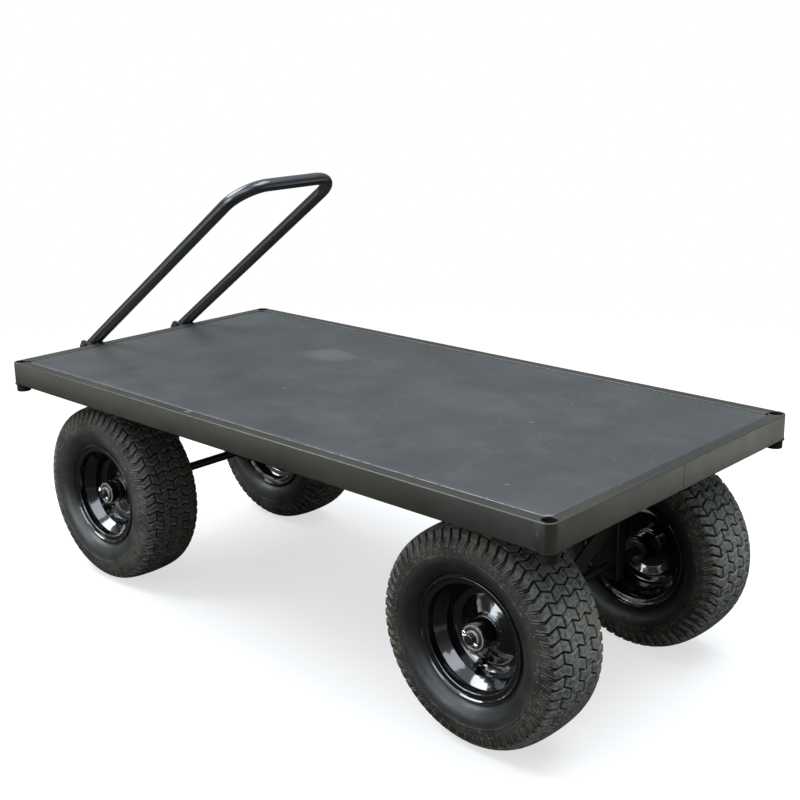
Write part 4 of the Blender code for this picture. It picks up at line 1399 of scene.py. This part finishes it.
bm = bmesh.new()
for name in ("bracket_near", "bracket_far"):
    low, high = box(name)
    for y in (low.y, high.y):
        weld([(high.x, y, 0.4560), (high.x, y, 0.4850)], 0.0020, 90, bm, up=(0, 1, 0))
build("bracket_welds", bm, "frame", "deck", "frame_paint", angle=60)


# =====================================================================================
# studio
# =====================================================================================
# sky colour against height: 0 straight down, 0.5 level, 1 straight up
SKY_ENDS = ((0.0, (0.06, 0.06, 0.06)), (1.0, (1.15, 1.32, 1.50)))
SKY_STOPS = ((0.49, (0.10, 0.10, 0.09)), (0.52, (0.18, 0.175, 0.15)), (0.62, (0.24, 0.24, 0.23)),
             (0.74, (0.52, 0.57, 0.62)), (0.87, (0.95, 1.06, 1.18)))


def studio_world():
    """Soft sky for lighting and reflections; the camera sees plain white."""
    world = bpy.data.worlds.new("studio")
    bpy.context.scene.world = world
    sky = Graph(world, "Background")
    height = sky.xyz(sky.out(sky.coords, "Generated"))[2]
    spread = sky.node("ShaderNodeMapRange", {"From Min": -1.0, "From Max": 1.0, "Value": height})
    ramp = sky.node("ShaderNodeValToRGB", {"Fac": sky.out(spread)})
    stops = ramp.color_ramp.elements
    for stop, (position, colour) in zip(stops, SKY_ENDS):
        stop.position = position
        stop.color = (*colour, 1)
    for position, colour in SKY_STOPS:
        stops.new(position).color = (*colour, 1)
    camera_ray = sky.out(sky.node("ShaderNodeLightPath"), "Is Camera Ray")
    sky.set("Color", sky.mix(camera_ray, sky.out(ramp, "Color"), (1.0, 1.0, 1.0)))
    sky.set("Strength", 1.0)


def floor_material():
    """Pale, faintly mottled; fades to white far off and throws less light on the trolley."""
    mat = new_material("floor_look")
    seen = mat.mix(mat.noise(1.3, detail=5, rough=0.6).ramp(0.3, 0.7),
                   (0.84, 0.84, 0.84), (0.87, 0.87, 0.87))
    x, y, _ = mat.xyz()
    ray = mat.node("ShaderNodeLightPath")
    camera_ray = mat.out(ray, "Is Camera Ray")
    # what reflections see: bright patches on the near side and beyond the tail
    near_patch = y.ramp(-1.1, -1.9) * x.ramp(0.2, -2.2, 0.03, 0.95)
    tail_patch = x.ramp(1.0, 1.5) * y.ramp(0.2, 2.2, 0.20, 0.95)
    mirror = near_patch + tail_patch + 0.04
    mirror_col = mat.node("ShaderNodeCombineColor", {
        channel: mirror * weight for channel, weight in enumerate((1.0, 0.975, 0.82))})
    # other light is bounced as from a darker floor
    col = mat.mix(mat.out(ray, "Is Glossy Ray"), (0.25, 0.245, 0.22), mat.out(mirror_col))
    mat.set("Base Color", mat.mix(camera_ray, col, seen))
    mat.set("Roughness", 0.9)
    mat.set("Specular IOR Level", 0.0)
    mat.bump((mat.noise(120, detail=4), 0.03, 0.001))
    glow = mat.node("ShaderNodeEmission", {"Color": (1.0, 1.0, 1.0)})
    dx, dy = x - -0.1, y - 0.1
    distance = (dx * dx + dy * dy).math("SQRT")
    blend = mat.node("ShaderNodeMixShader", {
        0: distance.ramp(1.0, 3.0, 0.66, 1.0) * camera_ray,
        1: mat.out(mat.shader), 2: mat.out(glow)})
    mat.put(mat.tree.nodes["Material Output"].inputs["Surface"], mat.out(blend))
    return mat.owner


def floor_disc():
    bm = bmesh.new()
    rings = [[bm.verts.new((r * c, r * s, 0.0)) for c, s in circle(24)] for r in (3.0, 9.0, 40.0)]
    bm.faces.new(rings[0])
    skin(bm, rings)
    mesh = finished(bm, "floor")
    floor = bpy.data.objects.new("floor", mesh)
    bpy.context.scene.collection.objects.link(floor)
    mesh.materials.append(floor_material())


def area_light(name, place, target, size, power, colour):
    """Rectangular light of size (wide, high) aimed at the target."""
    light = bpy.data.lights.new(name, "AREA")
    light.shape = "RECTANGLE"
    light.size, light.size_y = size
    light.energy = power
    light.color = colour
    ob = bpy.data.objects.new(name, light)
    bpy.context.scene.collection.objects.link(ob)
    ob.location = place
    ob.rotation_mode = "QUATERNION"
    ob.rotation_quaternion = (Vector(target) - Vector(place)).to_track_quat("-Z", "Y")
    return ob


studio_world()
floor_disc()
# name, place, target, size, power, colour
LIGHTS = (
    ("left_sky", (-2.4, -1.3, 3.5), (0, -0.1, 0.4), (2.6, 2.2), 230, (0.92, 0.96, 1.0)),
    ("top_sky", (1.3, 0.5, 3.6), (0.2, 0, 0.3), (2.4, 2.0), 150, (0.93, 0.97, 1.0)),
    ("near_low", (-1.9, -3.9, 1.5), (-0.5, 0, 0.3), (1.8, 1.2), 34, (1.0, 0.98, 0.95)),
)
# reflectors: seen in shiny paint and rubber only
CARDS = (
    ("near_card", (-0.95, -4.7, 0.9), (0.5, -0.2, 0.2), (1.9, 1.3), 92, (0.86, 0.93, 1.0)),
    ("long_card", (0.7, -2.7, 2.45), (0.1, -0.3, 0.15), (4.4, 1.7), 108, (0.86, 0.93, 1.0)),
)
for light in LIGHTS:
    area_light(*light)
for card in CARDS:
    area_light(*card).visible_diffuse = False


# =====================================================================================
# camera and output
# =====================================================================================
CAMERA_PLACE = (1.8141 + SHIFT, -1.8329, 1.2090)
CAMERA_TURN = radians(43.1275)    # from -Y towards +X
CAMERA_RISE = radians(14.4541)    # looking down by this much
CAMERA_ROLL = radians(-0.8273)


def add_camera():
    data = bpy.data.cameras.new("camera")
    camera = bpy.data.objects.new("camera", data)
    bpy.context.scene.collection.objects.link(camera)
    bpy.context.scene.camera = camera
    back = Vector((sin(CAMERA_TURN) * cos(CAMERA_RISE), -cos(CAMERA_TURN) * cos(CAMERA_RISE),
                   sin(CAMERA_RISE)))
    right = (-back).cross(Vector((0, 0, 1))).normalized()
    up = right.cross(-back)
    rolled_right = right * cos(CAMERA_ROLL) + up * sin(CAMERA_ROLL)
    rolled_up = -right * sin(CAMERA_ROLL) + up * cos(CAMERA_ROLL)
    turn = Matrix((rolled_right, rolled_up, back)).transposed()
    camera.matrix_world = Matrix.Translation(CAMERA_PLACE) @ turn.to_4x4()
    data.sensor_width = 36.0
    data.lens = 57.2634
    data.shift_x = 0.00115
    data.shift_y = -0.049975
    data.clip_start = 0.05
    data.clip_end = 200


add_camera()
view = bpy.context.scene.view_settings
view.view_transform = "Standard"
view.look = "None"
view.exposure = 0.0
view.gamma = 1.0

bpy.context.view_layer.update()
